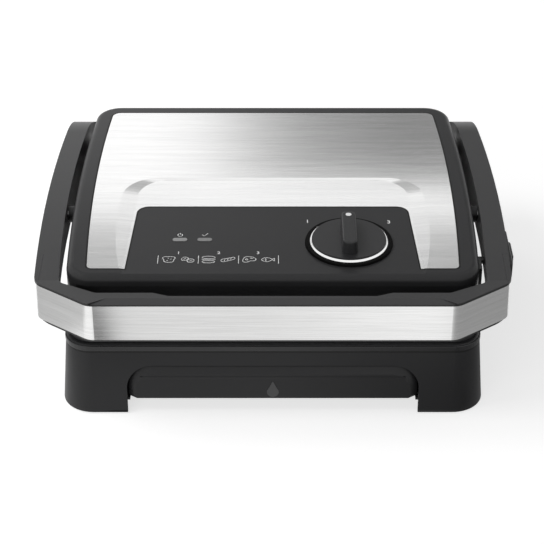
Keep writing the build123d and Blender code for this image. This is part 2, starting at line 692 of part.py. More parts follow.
def make_base_housing():
    """Drafted housing on four legs, with the tray's arch in front and bosses for the screws."""
    outer = drafted(FOOT_PAD, BASE_TOP)
    outer = fillet(outer.edges().group_by(Axis.Z)[-1], SHOULDER)
    shell = outer - drafted(FOOT_PAD - LAP, BASE_TOP - SHELL, SHELL)
    shell -= upright(base_outline(BASE_TOP, RIM_SETBACK + RIM_WALL), BASE_TOP - SHELL - LAP)
    arch = arch_outline(ARCH_HALF, ARCH_TOP, ARCH_RADIUS, 0)
    shell -= front_prism(arch, BASE_FRONT - LAP, BASE_FRONT + ARCH_DEPTH)
    arch_front = BASE_FRONT + SIDE_ARCH_INSET
    arch_back = BASE_BACK - SIDE_ARCH_INSET
    side_arch = make_face(Polyline(
        (arch_front, 0), (arch_back, 0), (arch_back - SIDE_ARCH_TOP, SIDE_ARCH_TOP),
        (arch_front + SIDE_ARCH_TOP, SIDE_ARCH_TOP), close=True))
    shell -= side_prism(side_arch)
    low = FLOOR_PLATE_Z + BAY_WALL + SEAT
    for x, y in screw_spots():
        wall_x = math.copysign(BASE_HALF, x)
        boss = Pos(x, y) * upright(Circle(SCREW_BOSS_R), low, SCREW_BOSS)
        web = box_between(
            (min(x, wall_x), y - SCREW_WEB / 2, low), (max(x, wall_x), y + SCREW_WEB / 2, low + SCREW_BOSS))
        shell += (boss + web) & drafted(FOOT_PAD, BASE_TOP, SHELL / 2)
        shell -= Pos(x, y, low + SCREW_HOLE / 2) * Cylinder(SCREW_R + RUN, SCREW_HOLE + 2 * SEAT)
    shell -= hinge_slots()
    return shell - rod_y(GLAND_NECK_R + SEAM, DEEP, CORD_X, BASE_BACK - SHELL, CORD_Z)


def hinge_slots():
    """Clearance for the hinge ears through the housing and the rim."""
    slot = box_between(
        (EAR_X - SEAM, HINGE_Y - EAR_SLOT_FRONT, BASE_TOP - DEEP),
        (EAR_X + EAR_THICK + SEAM, HINGE_Y + EAR_SLOT_BACK, RIM_TOP + LAP))
    return slot + mirrored(slot)


def make_base_bay():
    """Under cover: two leg floors joined by the hat-shaped bay that carries the tray."""
    lean = SHELL + SEAM
    low = FLOOR_PLATE_Z
    outside = BAY_HALF + BAY_WALL
    front = BASE_FRONT - LAP
    bay_out = box_between((-outside, front, low), (outside, BAY_BACK + BAY_WALL, BAY_ROOF + BAY_WALL))
    bay_in = box_between((-BAY_HALF, front, low - LAP), (BAY_HALF, BAY_BACK, BAY_ROOF))
    hat = bay_out & drafted(low, BAY_ROOF + BAY_WALL, lean)
    cover = drafted(low, low + BAY_WALL, lean) + hat - bay_in
    rail = box_between(
        (BAY_HALF - RAIL_REACH, BASE_FRONT + RAIL_SETBACK, RAIL_Z - RAIL_THICK),
        (BAY_HALF + BAY_WALL / 2, BAY_BACK, RAIL_Z))
    cover = cover + rail + mirrored(rail)
    cover -= box_between((-outside, front, 0), (outside, BASE_FRONT + BAY_SETBACK, BASE_TOP))
    post_top = LOWER_REFLECTOR_Z - SEAT
    post_low = BAY_ROOF + BAY_WALL / 2
    for x, y in post_spots():
        cover += Pos(x, y) * upright(Circle(POST_R), post_low, post_top - post_low)
    for x, y in screw_spots():
        cover -= Pos(x, y, FLOOR_PLATE_Z) * Cylinder(SCREW_R + RUN, DEEP)
    drain = Pos(0, drain_front() + DRAIN_DEPTH / 2, BAY_ROOF) * Box(
        2 * (DRAIN_HALF + DRAIN_CLEAR), DRAIN_DEPTH + 2 * DRAIN_CLEAR, DEEP / 2)
    return cover - drain


def make_base_rim():
    """Black inner rim with a ledge that carries the lower plate."""
    plan = base_outline(BASE_TOP, RIM_SETBACK)
    low = BASE_TOP + SEAT
    outer = extrude(Plane.XY.offset(low) * plan, RIM_TOP - low, taper=BASE_DRAFT)
    outer = fillet(outer.edges().group_by(Axis.Z)[-1], RIM_ROUND)
    neck_low = BASE_TOP - RIM_NECK
    neck = upright(base_outline(BASE_TOP, RIM_SETBACK + RIM_WALL + SEAM), neck_low, RIM_NECK + RIM_LIP)
    body = outer + neck
    inside = base_outline(BASE_TOP, RIM_SETBACK + 2 * RIM_WALL)
    body -= upright(inside, neck_low - LAP, RIM_TOP - RIM_LIP - neck_low + LAP)
    roomy = base_outline(BASE_TOP, RIM_SETBACK + RIM_WALL + LAP)
    body -= upright(roomy, BASE_TOP + RIM_LIP, RIM_TOP - 2 * RIM_LIP - BASE_TOP)
    seat_z = lower_plate_bottom() - SEAT
    body += upright(lower_plan(PLATE_PLAY + RIM_LIP), seat_z - RIM_LIP, RIM_TOP - LAP - seat_z + RIM_LIP)
    body -= upright(lower_plan(PLATE_PLAY), seat_z)
    body -= upright(lower_plan(-LEDGE), seat_z - DEEP)
    return body - hinge_slots()


def lower_plate_bottom():
    return LOWER_RIB_TOP - RIB_HEIGHT - PLATE_FLOOR


def drain_front():
    """Front edge of the fat drain in the lower plate."""
    return LOWER_FRONT + LEDGE + DRAIN_INSET


def rib_rows(half, front, back, z0, z1):
    """Parallel ribs from front to back with drafted sides."""
    count = int((half - PLATE_RIM - RIB_PITCH) / RIB_PITCH)
    foot = RIB_WIDTH / 2
    crest = foot - RIB_FLANK
    section = make_face(Polyline((-foot, 0), (foot, 0), (crest, z1 - z0), (-crest, z1 - z0), close=True))
    rib = extrude(Plane(origin=(0, back, z0), x_dir=(1, 0, 0), z_dir=(0, -1, 0)) * section, back - front)
    return [Pos(i * RIB_PITCH, 0, 0) * rib for i in range(-count, count + 1)]


def make_lower_plate():
    """Cast plate with ribs, a raised edge and a drain with a spout at its front."""
    bottom = lower_plate_bottom()
    floor_top = bottom + PLATE_FLOOR
    pan = upright(lower_plan(), bottom, LOWER_RIB_TOP + LOWER_LIP - bottom)
    pan -= upright(lower_plan(-PLATE_RIM), floor_top)
    rib_front = LOWER_FRONT + RIB_INSET_LOWER
    rib_back = LOWER_BACK - RIB_INSET_BACK
    ribs = rib_rows(LOWER_HALF, rib_front, rib_back, floor_top - RIB_ROOT, LOWER_RIB_TOP)
    front = drain_front()
    back = front + DRAIN_DEPTH
    half = DRAIN_HALF + SPOUT_WALL
    spout = box_between(
        (-half, front - SPOUT_WALL, bottom - SPOUT_DROP), (half, back + SPOUT_WALL, bottom + LAP))
    drain_low = bottom - SPOUT_DROP - LAP
    drain = box_between((-DRAIN_HALF, front, drain_low), (DRAIN_HALF, back, floor_top + LAP))
    drain = fillet(drain.edges().filter_by(Axis.Z), DRAIN_DEPTH / 2 - SEAM)
    return pan + ribs + spout - drain


def make_upper_plate():
    """Cast plate of the lid, with its ribs hanging down."""
    low = LOWER_RIB_TOP + PLATE_GAP
    floor_low = low + RIB_HEIGHT
    pan = upright(upper_plan(), low - UPPER_LIP, floor_low + PLATE_FLOOR - low + UPPER_LIP)
    pan -= upright(upper_plan(-PLATE_RIM), low - DEEP, floor_low - low + DEEP)
    front = UPPER_FRONT + RIB_INSET_UPPER
    back = UPPER_BACK - RIB_INSET_BACK
    ribs = rib_rows(UPPER_HALF, front, back, -floor_low - RIB_ROOT, -low)
    return pan + [mirror(rib, Plane.XY) for rib in ribs]


def make_heater(half, front, back, z):
    """Tubular element bent to a double U, with its cold ends at the back."""
    inner = half * HEATER_INNER_SHARE
    short = back - HEATER_RETURN
    loop = front + HEATER_LOOP
    line = FilletPolyline(
        (-half, back), (-half, front), (half, front), (half, short), (inner, short), (inner, loop),
        (-inner, loop), (-inner, back), radius=HEATER_TURN)
    path = Plane.XY.offset(z) * line
    section = Plane(origin=path @ 0, z_dir=path % 0) * Circle(HEATER_R)
    return sweep(section, path=path)


def plate_heater(front, back, half, z):
    """Element under or over a plate."""
    return make_heater(half - HEATER_SIDE_INSET, front + HEATER_FRONT_INSET, back - HEATER_BACK_INSET, z)


def make_reflector(front, back, half, z, sign):
    """Shallow pressed pan that throws the heat towards its plate; sign gives the open side."""
    middle = (front + back) / 2
    outside = Pos(0, middle) * RectangleRounded(2 * half, back - front, REFLECTOR_CORNER)
    inside = Pos(0, middle) * RectangleRounded(
        2 * (half - SHEET), back - front - 2 * SHEET, REFLECTOR_CORNER - SHEET)
    pan = upright(outside, z, sign * REFLECTOR_DEPTH)
    return pan - upright(inside, z + sign * SHEET, sign * REFLECTOR_DEPTH)


def make_lower_reflector():
    """Reflector under the lower element, on the posts of the bay."""
    return make_reflector(
        LOWER_FRONT + REFLECTOR_FRONT_INSET, LOWER_BACK - REFLECTOR_BACK_INSET,
        LOWER_HALF - REFLECTOR_SIDE_INSET, LOWER_REFLECTOR_Z, 1)


def make_cord_gland():
    """Round bush in the back wall that the mains lead leaves through."""
    back = BASE_BACK - CORD_Z * math.tan(math.radians(BASE_DRAFT))
    head = Pos(CORD_X, back + LAP + GLAND_HEAD / 2, CORD_Z) * Rot(90, 0, 0) * Cone(
        GLAND_R, GLAND_TIP_R, GLAND_HEAD)
    neck = rod_y(GLAND_NECK_R, GLAND_NECK, CORD_X, back + 2 * LAP - GLAND_NECK / 2, CORD_Z)
    collar = rod_y(GLAND_R, GLAND_COLLAR, CORD_X, back - SHELL - GLAND_GRIP, CORD_Z)
    return head + neck + collar - rod_y(GLAND_BORE_R, TALL, CORD_X, back, CORD_Z)


def make_cord_clamp():
    """Two-screw bridge inside the base that would grip the lead behind its gland."""
    y = BASE_BACK - CLAMP_INSET
    floor = FLOOR_PLATE_Z + BAY_WALL
    half = CLAMP_DEPTH / 2
    block = box_between(
        (CORD_X - CLAMP_HALF, y - half, floor + SEAT), (CORD_X + CLAMP_HALF, y + half, CORD_Z + CLAMP_RISE))
    waist = box_between(
        (CORD_X - CLAMP_WAIST_HALF, y - CLAMP_DEPTH, floor - LAP),
        (CORD_X + CLAMP_WAIST_HALF, y + CLAMP_DEPTH, CORD_Z - CLAMP_WAIST_DROP))
    return block - waist - rod_y(GLAND_BORE_R + CLAMP_PLAY, DEEP, CORD_X, y, CORD_Z)


def make_terminal_block():
    """Three-way ceramic terminal block on the floor of the base."""
    floor = FLOOR_PLATE_Z + BAY_WALL
    y = BASE_BACK - TERMINAL_INSET
    half = TERMINAL_DEPTH / 2
    top = floor + TERMINAL_HEIGHT
    block = box_between(
        (CORD_X - TERMINAL_HALF, y - half, floor + SEAT), (CORD_X + TERMINAL_HALF, y + half, top))
    for i in (-1, 0, 1):
        x = CORD_X + TERMINAL_PITCH * i
        block -= rod_y(TERMINAL_WIRE_R, TERMINAL_DEPTH + LAP, x, y, floor + TERMINAL_WIRE_Z)
        for side in (-TERMINAL_SCREW_Y, TERMINAL_SCREW_Y):
            block -= Pos(x, y + side, top) * Cylinder(TERMINAL_SCREW_R, 2 * TERMINAL_SCREW_DEPTH)
    return block


def make_thermal_fuse():
    """Axial cut-out strapped under the lower reflector."""
    z = LOWER_REFLECTOR_Z - FUSE_DROP
    body = rod_x(FUSE_R, -FUSE_HALF, FUSE_HALF, FUSE_Y, z)
    strap = box_between(
        (-FUSE_STRAP_HALF, FUSE_Y - FUSE_STRAP_R, z - FUSE_STRAP_R),
        (FUSE_STRAP_HALF, FUSE_Y + FUSE_STRAP_R, LOWER_REFLECTOR_Z - SEAT))
    return strap + body + rod_x(FUSE_LEAD_R, -FUSE_LEAD_HALF, FUSE_LEAD_HALF, FUSE_Y, z)


def make_rubber_feet():
    """Four pads pressed into the legs' corners."""
    feet = []
    for x in (FOOT_INSET - BASE_HALF, BASE_HALF - FOOT_INSET):
        for y in (BASE_FRONT + FOOT_INSET, BASE_BACK - FOOT_INSET):
            pad = RectangleRounded(FOOT_LENGTH, FOOT_DEPTH, FOOT_CORNER)
            feet.append(Pos(x, y) * upright(pad, 0, FLOOR_PLATE_Z - SEAT))
    return feet


def make_hinge_ear():
    """Pressed steel ear that stands up from the base and carries the hinge pin."""
    floor = FLOOR_PLATE_Z + BAY_WALL + SEAT
    post_y = HINGE_Y - EAR_SETBACK
    outer = EAR_X + EAR_THICK
    points = [(HINGE_Y, HINGE_Z), (post_y, BASE_TOP - EAR_KNEE), (post_y, floor + EAR_R)]
    ear = link_plate(points, [EAR_R, EAR_R, EAR_R], EAR_X, EAR_THICK)
    ear += box_between(
        (EAR_X - EAR_FOOT, post_y - EAR_FOOT_HALF, floor),
        (outer, post_y + EAR_FOOT_HALF, floor + EAR_THICK))
    return ear - rod_x(HINGE_PIN_R + RUN, EAR_X - LAP, outer + LAP, HINGE_Y, HINGE_Z)


def make_hinge_pin():
    """Headed pin fixed in the ear, on which the arm turns."""
    inner = EAR_X - PIN_CLEAR
    pin = rod_x(HINGE_PIN_R, inner, ARM_BAR_X + LAP, HINGE_Y, HINGE_Z)
    return pin + rod_x(HINGE_PIN_R + PIN_HEAD_EXTRA, inner - PIN_HEAD, inner, HINGE_Y, HINGE_Z)


def make_lock_catch():
    """Pressed hook on the rim that rises in the gap beside the lid."""
    outer = CATCH_X + CATCH_THICK
    low = RIM_TOP + SEAT
    post = box_between((CATCH_X, CATCH_FRONT, low), (outer, CATCH_BACK, CATCH_TOP))
    nose_low = CATCH_TOP - CATCH_NOSE_HEIGHT
    nose = box_between((CATCH_X, CATCH_BACK - LAP, nose_low), (outer, CATCH_BACK + CATCH_NOSE, CATCH_TOP))
    hook = fillet((post + nose).edges().filter_by(Axis.X).group_by(Axis.Z)[-1], CATCH_ROUND)
    foot = box_between(
        (CATCH_X - CATCH_FOOT, CATCH_FRONT, low), (CATCH_X + LAP, CATCH_BACK, low + CATCH_THICK - SEAT))
    return hook + foot


def make_base_screws():
    """Pan-head screws that hold the under cover to the legs."""
    screws = []
    shank_z = FLOOR_PLATE_Z - LAP + SCREW_LENGTH / 2
    for x, y in screw_spots():
        shank = Pos(x, y, shank_z) * Cylinder(SCREW_R, SCREW_LENGTH)
        head = Pos(x, y, FLOOR_PLATE_Z - SEAT - SCREW_HEAD / 2) * Cylinder(SCREW_HEAD_R, SCREW_HEAD)
        screws.append(head + shank)
    return screws


def make_drip_tray():
    """Moulded tray: a front panel with a sloping edge and a pan with side flanges."""
    gap = TRAY_FRONT_GAP
    half = ARCH_HALF - gap
    face = arch_outline(half, ARCH_TOP - gap, ARCH_RADIUS - gap, TRAY_BOTTOM)
    face = fillet([v for v in face.vertices() if v.Y < TRAY_BOTTOM + SEAT], TRAY_FOOT_ROUND)
    crest = arch_outline(
        half - TRAY_CHAMFER_SIDE, ARCH_TOP - gap - TRAY_CHAMFER, ARCH_RADIUS - gap - TRAY_CHAMFER_ROUND,
        TRAY_BOTTOM)
    crest = fillet([v for v in crest.vertices() if v.Y < TRAY_BOTTOM + SEAT], TRAY_FOOT_ROUND)
    near = Plane(origin=(0, BASE_FRONT, 0), x_dir=(1, 0, 0), z_dir=(0, -1, 0))
    panel = loft([near * crest, near.offset(-TRAY_CHAMFER_DEPTH) * face])
    panel += front_prism(face, BASE_FRONT + TRAY_CHAMFER_DEPTH, BASE_FRONT + TRAY_PANEL)
    leaning = Pos(0, BASE_FRONT, 0) * Rot(-BASE_DRAFT, 0, 0) * Pos(0, -BASE_FRONT, 0) * panel
    panel = leaning & front_prism(face, BASE_FRONT - LAP, BASE_FRONT + DEEP)
    front = BASE_FRONT + TRAY_SETBACK + TRAY_BOTTOM * math.tan(math.radians(BASE_DRAFT))
    back = front + TRAY_DEPTH
    inside = TRAY_HALF - TRAY_WALL
    pan = box_between((-TRAY_HALF, front, TRAY_BOTTOM), (TRAY_HALF, back, TRAY_RIM_Z))
    pan = fillet(pan.edges().filter_by(Axis.Z).group_by(Axis.Y)[-1], TRAY_CORNER)
    hollow_low = TRAY_BOTTOM + TRAY_WALL
    hollow = box_between((-inside, front + TRAY_PANEL, hollow_low), (inside, back - TRAY_WALL, FAR))
    hollow = fillet(hollow.edges().filter_by(Axis.Z).group_by(Axis.Y)[-1], TRAY_CORNER - TRAY_WALL)
    reach = BAY_HALF - TRAY_GUIDE
    rim = box_between(
        (-reach, BASE_FRONT + TRAY_RIM_SETBACK, RAIL_Z + TRAY_RIM_PLAY), (reach, back + LAP, TRAY_RIM_Z))
    rim -= box_between((-inside, BASE_FRONT, 0), (inside, back - TRAY_WALL, FAR))
    return panel + (pan - hollow) + rim


# ---------------------------------------------------------------- lid pieces
def panel_plane(lift=0.0):
    """Plane of the control panel, with its origin on the panel's front edge."""
    slope = math.radians(PANEL_SLOPE)
    normal = (0, -math.sin(slope), math.cos(slope))
    return Plane(origin=(0, COVER_FRONT, PANEL_FRONT_Z), x_dir=(1, 0, 0), z_dir=normal).offset(lift)


def panel_height(y):
    """Height of the control panel at a place from front to back."""
    return PANEL_FRONT_Z + (y - COVER_FRONT) * math.tan(math.radians(PANEL_SLOPE))


def recess_plug():
    """Space pressed out of the lid round the control panel, with soft slopes at the sides."""
    front = COVER_FRONT - 8 * LAP
    depth = LID_TOP - panel_height(RECESS_BACK)
    side = RECESS_SIDE_RUN * RECESS_RISE / depth
    back = RECESS_BACK_RUN * RECESS_RISE / depth
    low = tongue_outline(RECESS_BACK, RECESS_HALF_BACK, RECESS_HALF_FRONT, front, RECESS_CORNER)
    high = tongue_outline(
        RECESS_BACK + back, RECESS_HALF_BACK + side, RECESS_HALF_FRONT + side, front, RECESS_CORNER + back)
    plane = panel_plane()
    return loft([plane * Pos(0, -COVER_FRONT) * low, plane * Pos(0, -COVER_FRONT, RECESS_RISE) * high])


def lid_skin(lower=0.0):
    """Solid under the visible top of the cover: crowned, less the pressed recess."""
    return Pos(0, 0, -lower) * (crown_cutter(LID_TOP) - recess_plug())


def make_steel_cover():
    """Brushed sheet pressed to the lid's crown, with a cut-out for the control panel."""
    skin = lid_skin() - lid_skin(COVER_THICK)
    return (skin & upright(cover_outline(), LID_SPLIT)) - upright(panel_outline(PANEL_GAP), LID_SPLIT)


def stud_spots():
    """Places of the bosses that carry the upper plate and its reflector."""
    half = UPPER_HALF - STUD_INSET_SIDE
    rows = (UPPER_FRONT + STUD_INSET_FRONT, UPPER_BACK - STUD_INSET_BACK)
    return [(x, y) for x in (-half, half) for y in rows]


def make_upper_reflector():
    """Reflector of the upper element, held under the lid's shouldered bosses."""
    pan = make_reflector(
        UPPER_FRONT + REFLECTOR_UPPER_INSET, UPPER_BACK - REFLECTOR_BACK_INSET,
        UPPER_HALF - REFLECTOR_SIDE_INSET, UPPER_REFLECTOR_Z, -1)
    for x, y in stud_spots():
        pan -= Pos(x, y, UPPER_REFLECTOR_Z) * Cylinder(STUD_R + SEAM, DEEP / 2)
    return pan


def make_lid_frame():
    """Moulded frame: rounded border, deck under the cover and the panel's raised tongue."""
    body = upright(lid_outline(), LID_SPLIT) & crown_cutter(LID_TOP)
    body = fillet(body.faces().sort_by(Axis.Z)[-1].edges(), LID_EDGE_ROUND)
    body -= box_between((-FAR, -FAR, 0), (FAR, LID_FRONT + BROW_REACH, BROW_Z))
    seat = upright(cover_outline(COVER_GAP), LID_SPLIT) - lid_skin(COVER_THICK + SEAT)
    body -= seat - (upright(panel_outline(), LID_SPLIT) - recess_plug())
    body -= upright(brow_outline(SHELL), LID_SPLIT - LAP) & lid_skin(PANEL_UNDER)
    body -= recess_plug()
    for x, y in stud_spots():
        stud = Pos(x, y) * upright(Circle(STUD_R + STUD_SHOULDER), UPPER_REFLECTOR_Z + SEAT)
        stud += Pos(x, y) * upright(Circle(STUD_R), UPPER_PLATE_TOP + SEAT)
        body += stud & lid_skin(PANEL_UNDER - DECK / 2)
    boss_outer = INNER_HALF_MIDDLE - PIVOT_SIDE_PLAY
    boss = rod_x(PIVOT_BOSS_R, LID_HALF_MIDDLE - PIVOT_BOSS_DEPTH, boss_outer, PIVOT_Y, PIVOT_Z)
    body += boss + mirrored(boss)
    bore = rod_x(PIVOT_PIN_R + RUN, LID_HALF_MIDDLE - PIVOT_BORE_DEPTH, FAR, PIVOT_Y, PIVOT_Z)
    body -= bore + mirrored(bore)
    body -= knob_place(0) * Cylinder(SHAFT_R + SHAFT_PLAY, 2 * DEEP)
    for x in LENS_X:
        body -= lens_prism(x, LENS_FIT, 2 * DEEP)
    return body


def lens_prism(x, grow, depth):
    """Upright pill through the control panel."""
    pill = SlotOverall(LENS_LENGTH + 2 * grow, LENS_WIDTH + 2 * grow)
    return extrude(panel_plane(LENS_RISE) * Pos(x, LENS_Y - COVER_FRONT, 0) * pill, -depth)


def make_lens(x):
    """Clear pill that shows the lamp under it."""
    return lens_prism(x, 0, LENS_THICK)


def make_lamp(x):
    """Neon lamp in its clip under the lens."""
    top = panel_height(LENS_Y) - PANEL_UNDER - LAMP_DROP
    lamp = Pos(x, LENS_Y, top - LAMP_LENGTH / 2) * Cylinder(LAMP_R, LAMP_LENGTH)
    tip = Pos(x, LENS_Y, top) * Sphere(LAMP_R)
    return lamp + (tip & Pos(x, LENS_Y) * upright(Circle(2 * LAMP_R), top - LAP, LAP + LAMP_TIP))


def make_lamp_holder():
    """Moulded clip for both lamps, hung from the deck."""
    front = LENS_Y - HOLDER_HALF
    back = LENS_Y + HOLDER_HALF
    top = panel_height(LENS_Y) - HOLDER_DROP
    bottom = top - HOLDER_THICK
    low = min(LENS_X) - HOLDER_REACH
    high = max(LENS_X) + HOLDER_REACH
    bar = box_between((low, front, bottom), (high, back, top))
    for x in LENS_X:
        bar -= Pos(x, LENS_Y, top) * Cylinder(LAMP_R + SEAM, DEEP)
    for x in (low, high):
        bar += box_between(
            (x - HOLDER_LEG_HALF, front, bottom),
            (x + HOLDER_LEG_HALF, back, panel_height(front) - PANEL_UNDER - SEAT))
    return bar


def make_lid_skirt():
    """Lower ring of the lid that frames the upper plate."""
    outer = upright(brow_outline(SKIRT_INSET), LID_BOTTOM, SKIRT_HEIGHT - SEAT)
    outer -= upright(brow_outline(SKIRT_INSET + SHELL), LID_BOTTOM + SKIRT_FLOOR)
    outer -= upright(upper_plan(UPPER_PLAY), LID_BOTTOM - LAP)
    lip_low = LID_SPLIT - SKIRT_LIP
    lip = upright(brow_outline(SHELL + SEAM), lip_low, 2 * SKIRT_LIP)
    lip -= upright(brow_outline(SHELL + SEAM + SKIRT_LIP_WALL), lip_low - LAP)
    return outer + lip


def knob_place(depth):
    """Frame on the knob's axis, at a depth below the panel."""
    return panel_plane(-depth) * Pos(KNOB_X, KNOB_Y - COVER_FRONT, 0)


def make_thermostat():
    """Bimetal control under the panel, with a square body and two spade terminals."""
    top = PANEL_UNDER + THERMOSTAT_DROP
    body = extrude(knob_place(top) * Rectangle(THERMOSTAT_WIDTH, THERMOSTAT_LENGTH), -THERMOSTAT_BODY)
    neck = extrude(knob_place(PANEL_UNDER + SEAT) * Circle(THERMOSTAT_NECK_R), -THERMOSTAT_DROP)
    for side in (-SPADE_Y, SPADE_Y):
        body += knob_place(top + SPADE_DROP) * Pos(0, side, 0) * Box(SPADE_WIDTH, SPADE_LENGTH, SHEET)
    return body + neck - knob_place(0) * Cylinder(SHAFT_R + RUN, 2 * SPINDLE_DEPTH + LAP)


def make_thermostat_bracket():
    """Steel strap that hangs the thermostat from the deck."""
    high = PANEL_UNDER + SEAT
    low = PANEL_UNDER + THERMOSTAT_DROP + THERMOSTAT_BODY + SEAT
    strap = extrude(knob_place(low) * Rectangle(BRACKET_WIDTH, BRACKET_DEPTH), -BRACKET_SHEET)
    reach = (BRACKET_WIDTH - BRACKET_SHEET) / 2
    for side in (-reach, reach):
        leg = knob_place(high) * Pos(side, 0) * Rectangle(BRACKET_SHEET, BRACKET_DEPTH)
        strap += extrude(leg, high - low - BRACKET_SHEET)
    return strap


# ---------------------------------------------------------------- handle pieces
def handle_outer(inset=0.0):
    """Outside plan of the handle, front bar and arms, drawn in by inset."""
    right = ThreePointArc(
        (HANDLE_HALF_FRONT, HANDLE_CORNER_Y), (HANDLE_HALF_MIDDLE, HANDLE_MIDDLE_Y),
        (HANDLE_HALF_BACK, HANDLE_BACK))
    face = handle_face(right, HANDLE_FLAT_HALF, HANDLE_FRONT)
    face = fillet([v for v in face.vertices() if v.Y < HANDLE_CORNER_Y + DEEP], HANDLE_BEND)
    face = fillet([v for v in face.vertices() if v.Y > HANDLE_BACK - SEAT], HANDLE_BACK_CORNER)
    return offset(face, -inset) if inset else face


def handle_inner(grow=0.0):
    """Inside plan of the handle, round the space that the lid fills, let out by grow."""
    right = ThreePointArc(
        (INNER_HALF_FRONT, INNER_CORNER_Y), (INNER_HALF_MIDDLE, INNER_MIDDLE_Y),
        (INNER_HALF_BACK, INNER_BACK))
    face = handle_face(right, BAR_INNER_HALF, BAR_BACK)
    face = fillet([v for v in face.vertices() if v.Y < INNER_CORNER_Y + DEEP], INNER_BEND)
    face = fillet([v for v in face.vertices() if v.Y > INNER_BACK - SEAT], INNER_BACK_CORNER)
    return offset(face, grow) if grow else face


def handle_face(right, flat_half, front):
    """Close a chamfered front to the bowed side given as an arc."""
    start = right @ 0
    end = right @ 1
    left = mirror(right, Plane.YZ)
    rear = Line((end.X, end.Y), (-end.X, end.Y))
    nose = Polyline((-start.X, start.Y), (-flat_half, front), (flat_half, front), (start.X, start.Y))
    return make_face([right, rear, left, nose])


def handle_profile():
    """Side profile of the handle, drawn as (Y, Z)."""
    start_y = HANDLE_CORNER_Y + 2 * LAP
    front_y = HANDLE_FRONT - 2 * LAP
    back_y = HANDLE_BACK + LAP / 2
    arms = ThreePointArc(
        (start_y, HANDLE_TOP_FRONT), (HANDLE_CREST_Y, HANDLE_TOP_MIDDLE),
        (HANDLE_TOP_BACK_Y, HANDLE_TOP_BACK))
    shoulder = EllipticalCenterArc(
        (HANDLE_TOP_BACK_Y, HINGE_Z), back_y - HANDLE_TOP_BACK_Y, HANDLE_TOP_BACK - HINGE_Z, arc_size=90)
    end_low = HINGE_Z - ARM_END_R
    below = Polyline(
        (back_y, HINGE_Z), (back_y, end_low), (HINGE_Y - ARM_END_R + 2 * LAP, end_low),
        (HINGE_Y - ARM_HEEL_RUN, ARM_LOW_BACK), (ARM_LOW_MIDDLE_Y, ARM_LOW_MIDDLE),
        (HANDLE_FRONT + ARM_FRONT_RUN, ARM_LOW_FRONT), (HANDLE_FRONT + BAR_UNDER_RUN, HANDLE_LOW),
        (front_y, HANDLE_LOW), (front_y, HANDLE_TOP_FRONT), (start_y, HANDLE_TOP_FRONT))
    face = make_face([arms, shoulder, below])
    under = [v for v in face.vertices() if v.Y < ARM_LOW_FRONT + LAP]
    face = fillet([v for v in under if HANDLE_FRONT + DEEP < v.X < HINGE_Y], ARM_UNDER_ROUND)
    heel = [v for v in face.vertices() if v.Y < end_low + SEAT and v.X > HINGE_Y]
    return fillet(heel, ARM_END_R - LAP)


def behind_lid(grow, height):
    """Space between the arms' rear ends, which the lid's back and the hinges need."""
    middle = box_between(
        (-CURL_HALF - grow, HANDLE_TOP_BACK_Y, 0), (CURL_HALF + grow, FAR, FAR))
    hinge = ARM_INNER_AT_HINGE + grow
    return middle + box_between((-hinge, HINGE_ROOM_FRONT, 0), (hinge, FAR, height))


def handle_body():
    """Whole outside form of the handle, before it is hollowed."""
    body = upright(handle_outer() - handle_inner(), 0, FAR)
    body &= side_prism(handle_profile())
    body -= behind_lid(0, CURL_LOW)
    high = HANDLE_TOP_FRONT + LAP
    nose = make_face(Polyline(
        (HANDLE_FRONT, HANDLE_TOP_FRONT - NOSE_DROP), (HANDLE_FRONT + NOSE_WIDTH, HANDLE_TOP_FRONT),
        (HANDLE_FRONT + NOSE_WIDTH, high), (HANDLE_FRONT, high), close=True))
    facet = make_face(Polyline(
        (-HANDLE_FLAT_HALF, HANDLE_FRONT), (HANDLE_FLAT_HALF, HANDLE_FRONT), (NOSE_HALF, HANDLE_FRONT + NOSE_WIDTH),
        (-NOSE_HALF, HANDLE_FRONT + NOSE_WIDTH), close=True))
    return body - (side_prism(nose) & upright(facet, HANDLE_LOW)) - scoop(0)


def scoop(grow):
    """Shallow finger scoop in the back of the front bar."""
    near = BAR_BACK - SCOOP_DEPTH - grow
    reach = SCOOP_HALF + grow
    flat = SCOOP_HALF - SCOOP_RUN
    face = make_face(Polyline(
        (-reach, BAR_BACK + LAP), (reach, BAR_BACK + LAP), (reach, BAR_BACK), (flat, near), (-flat, near),
        (-reach, BAR_BACK), close=True))
    return upright(face, HANDLE_TOP_FRONT - SCOOP_HEIGHT)


def cap_zone(grow):
    """Place of the small corner cap let into the right arm."""
    return box_between((CAP_INNER - grow, CAP_FRONT - grow, CAP_LOW - grow), (FAR, CAP_BACK + grow, FAR))


def handle_cavity():
    """Hollow inside the handle, open underneath."""
    wall = HANDLE_WALL
    room = upright(handle_outer(wall) - handle_inner(wall), DEEP, FAR)
    room -= behind_lid(wall, FAR)
    profile = side_prism(handle_profile())
    room &= Pos(0, 0, -wall) * (profile + Pos(0, 0, -DEEP) * profile)
    room &= box_between((-FAR, -FAR, 0), (FAR, HANDLE_BACK - wall, FAR))
    room -= box_between((-FAR, ARM_COVER_END, 0), (FAR, FAR, HINGE_Z - ARM_BAR_END_R - LAP))
    room -= scoop(wall)
    room -= box_between(
        (-FAR, -FAR, HANDLE_TOP_FRONT - NOSE_DROP - wall), (FAR, HANDLE_FRONT + NOSE_WIDTH + wall, FAR))
    keep = cap_zone(wall)
    return room - keep - mirrored(keep)


def band_ring(thick, play):
    """Strip that follows the outside of the handle's front."""
    ring = handle_outer() - handle_outer(thick)
    low = BAND_BOTTOM - play
    strip = upright(ring, low, BAND_TOP + play - low)
    return strip & box_between((-FAR, -FAR, 0), (FAR, BAND_END + play, FAR))


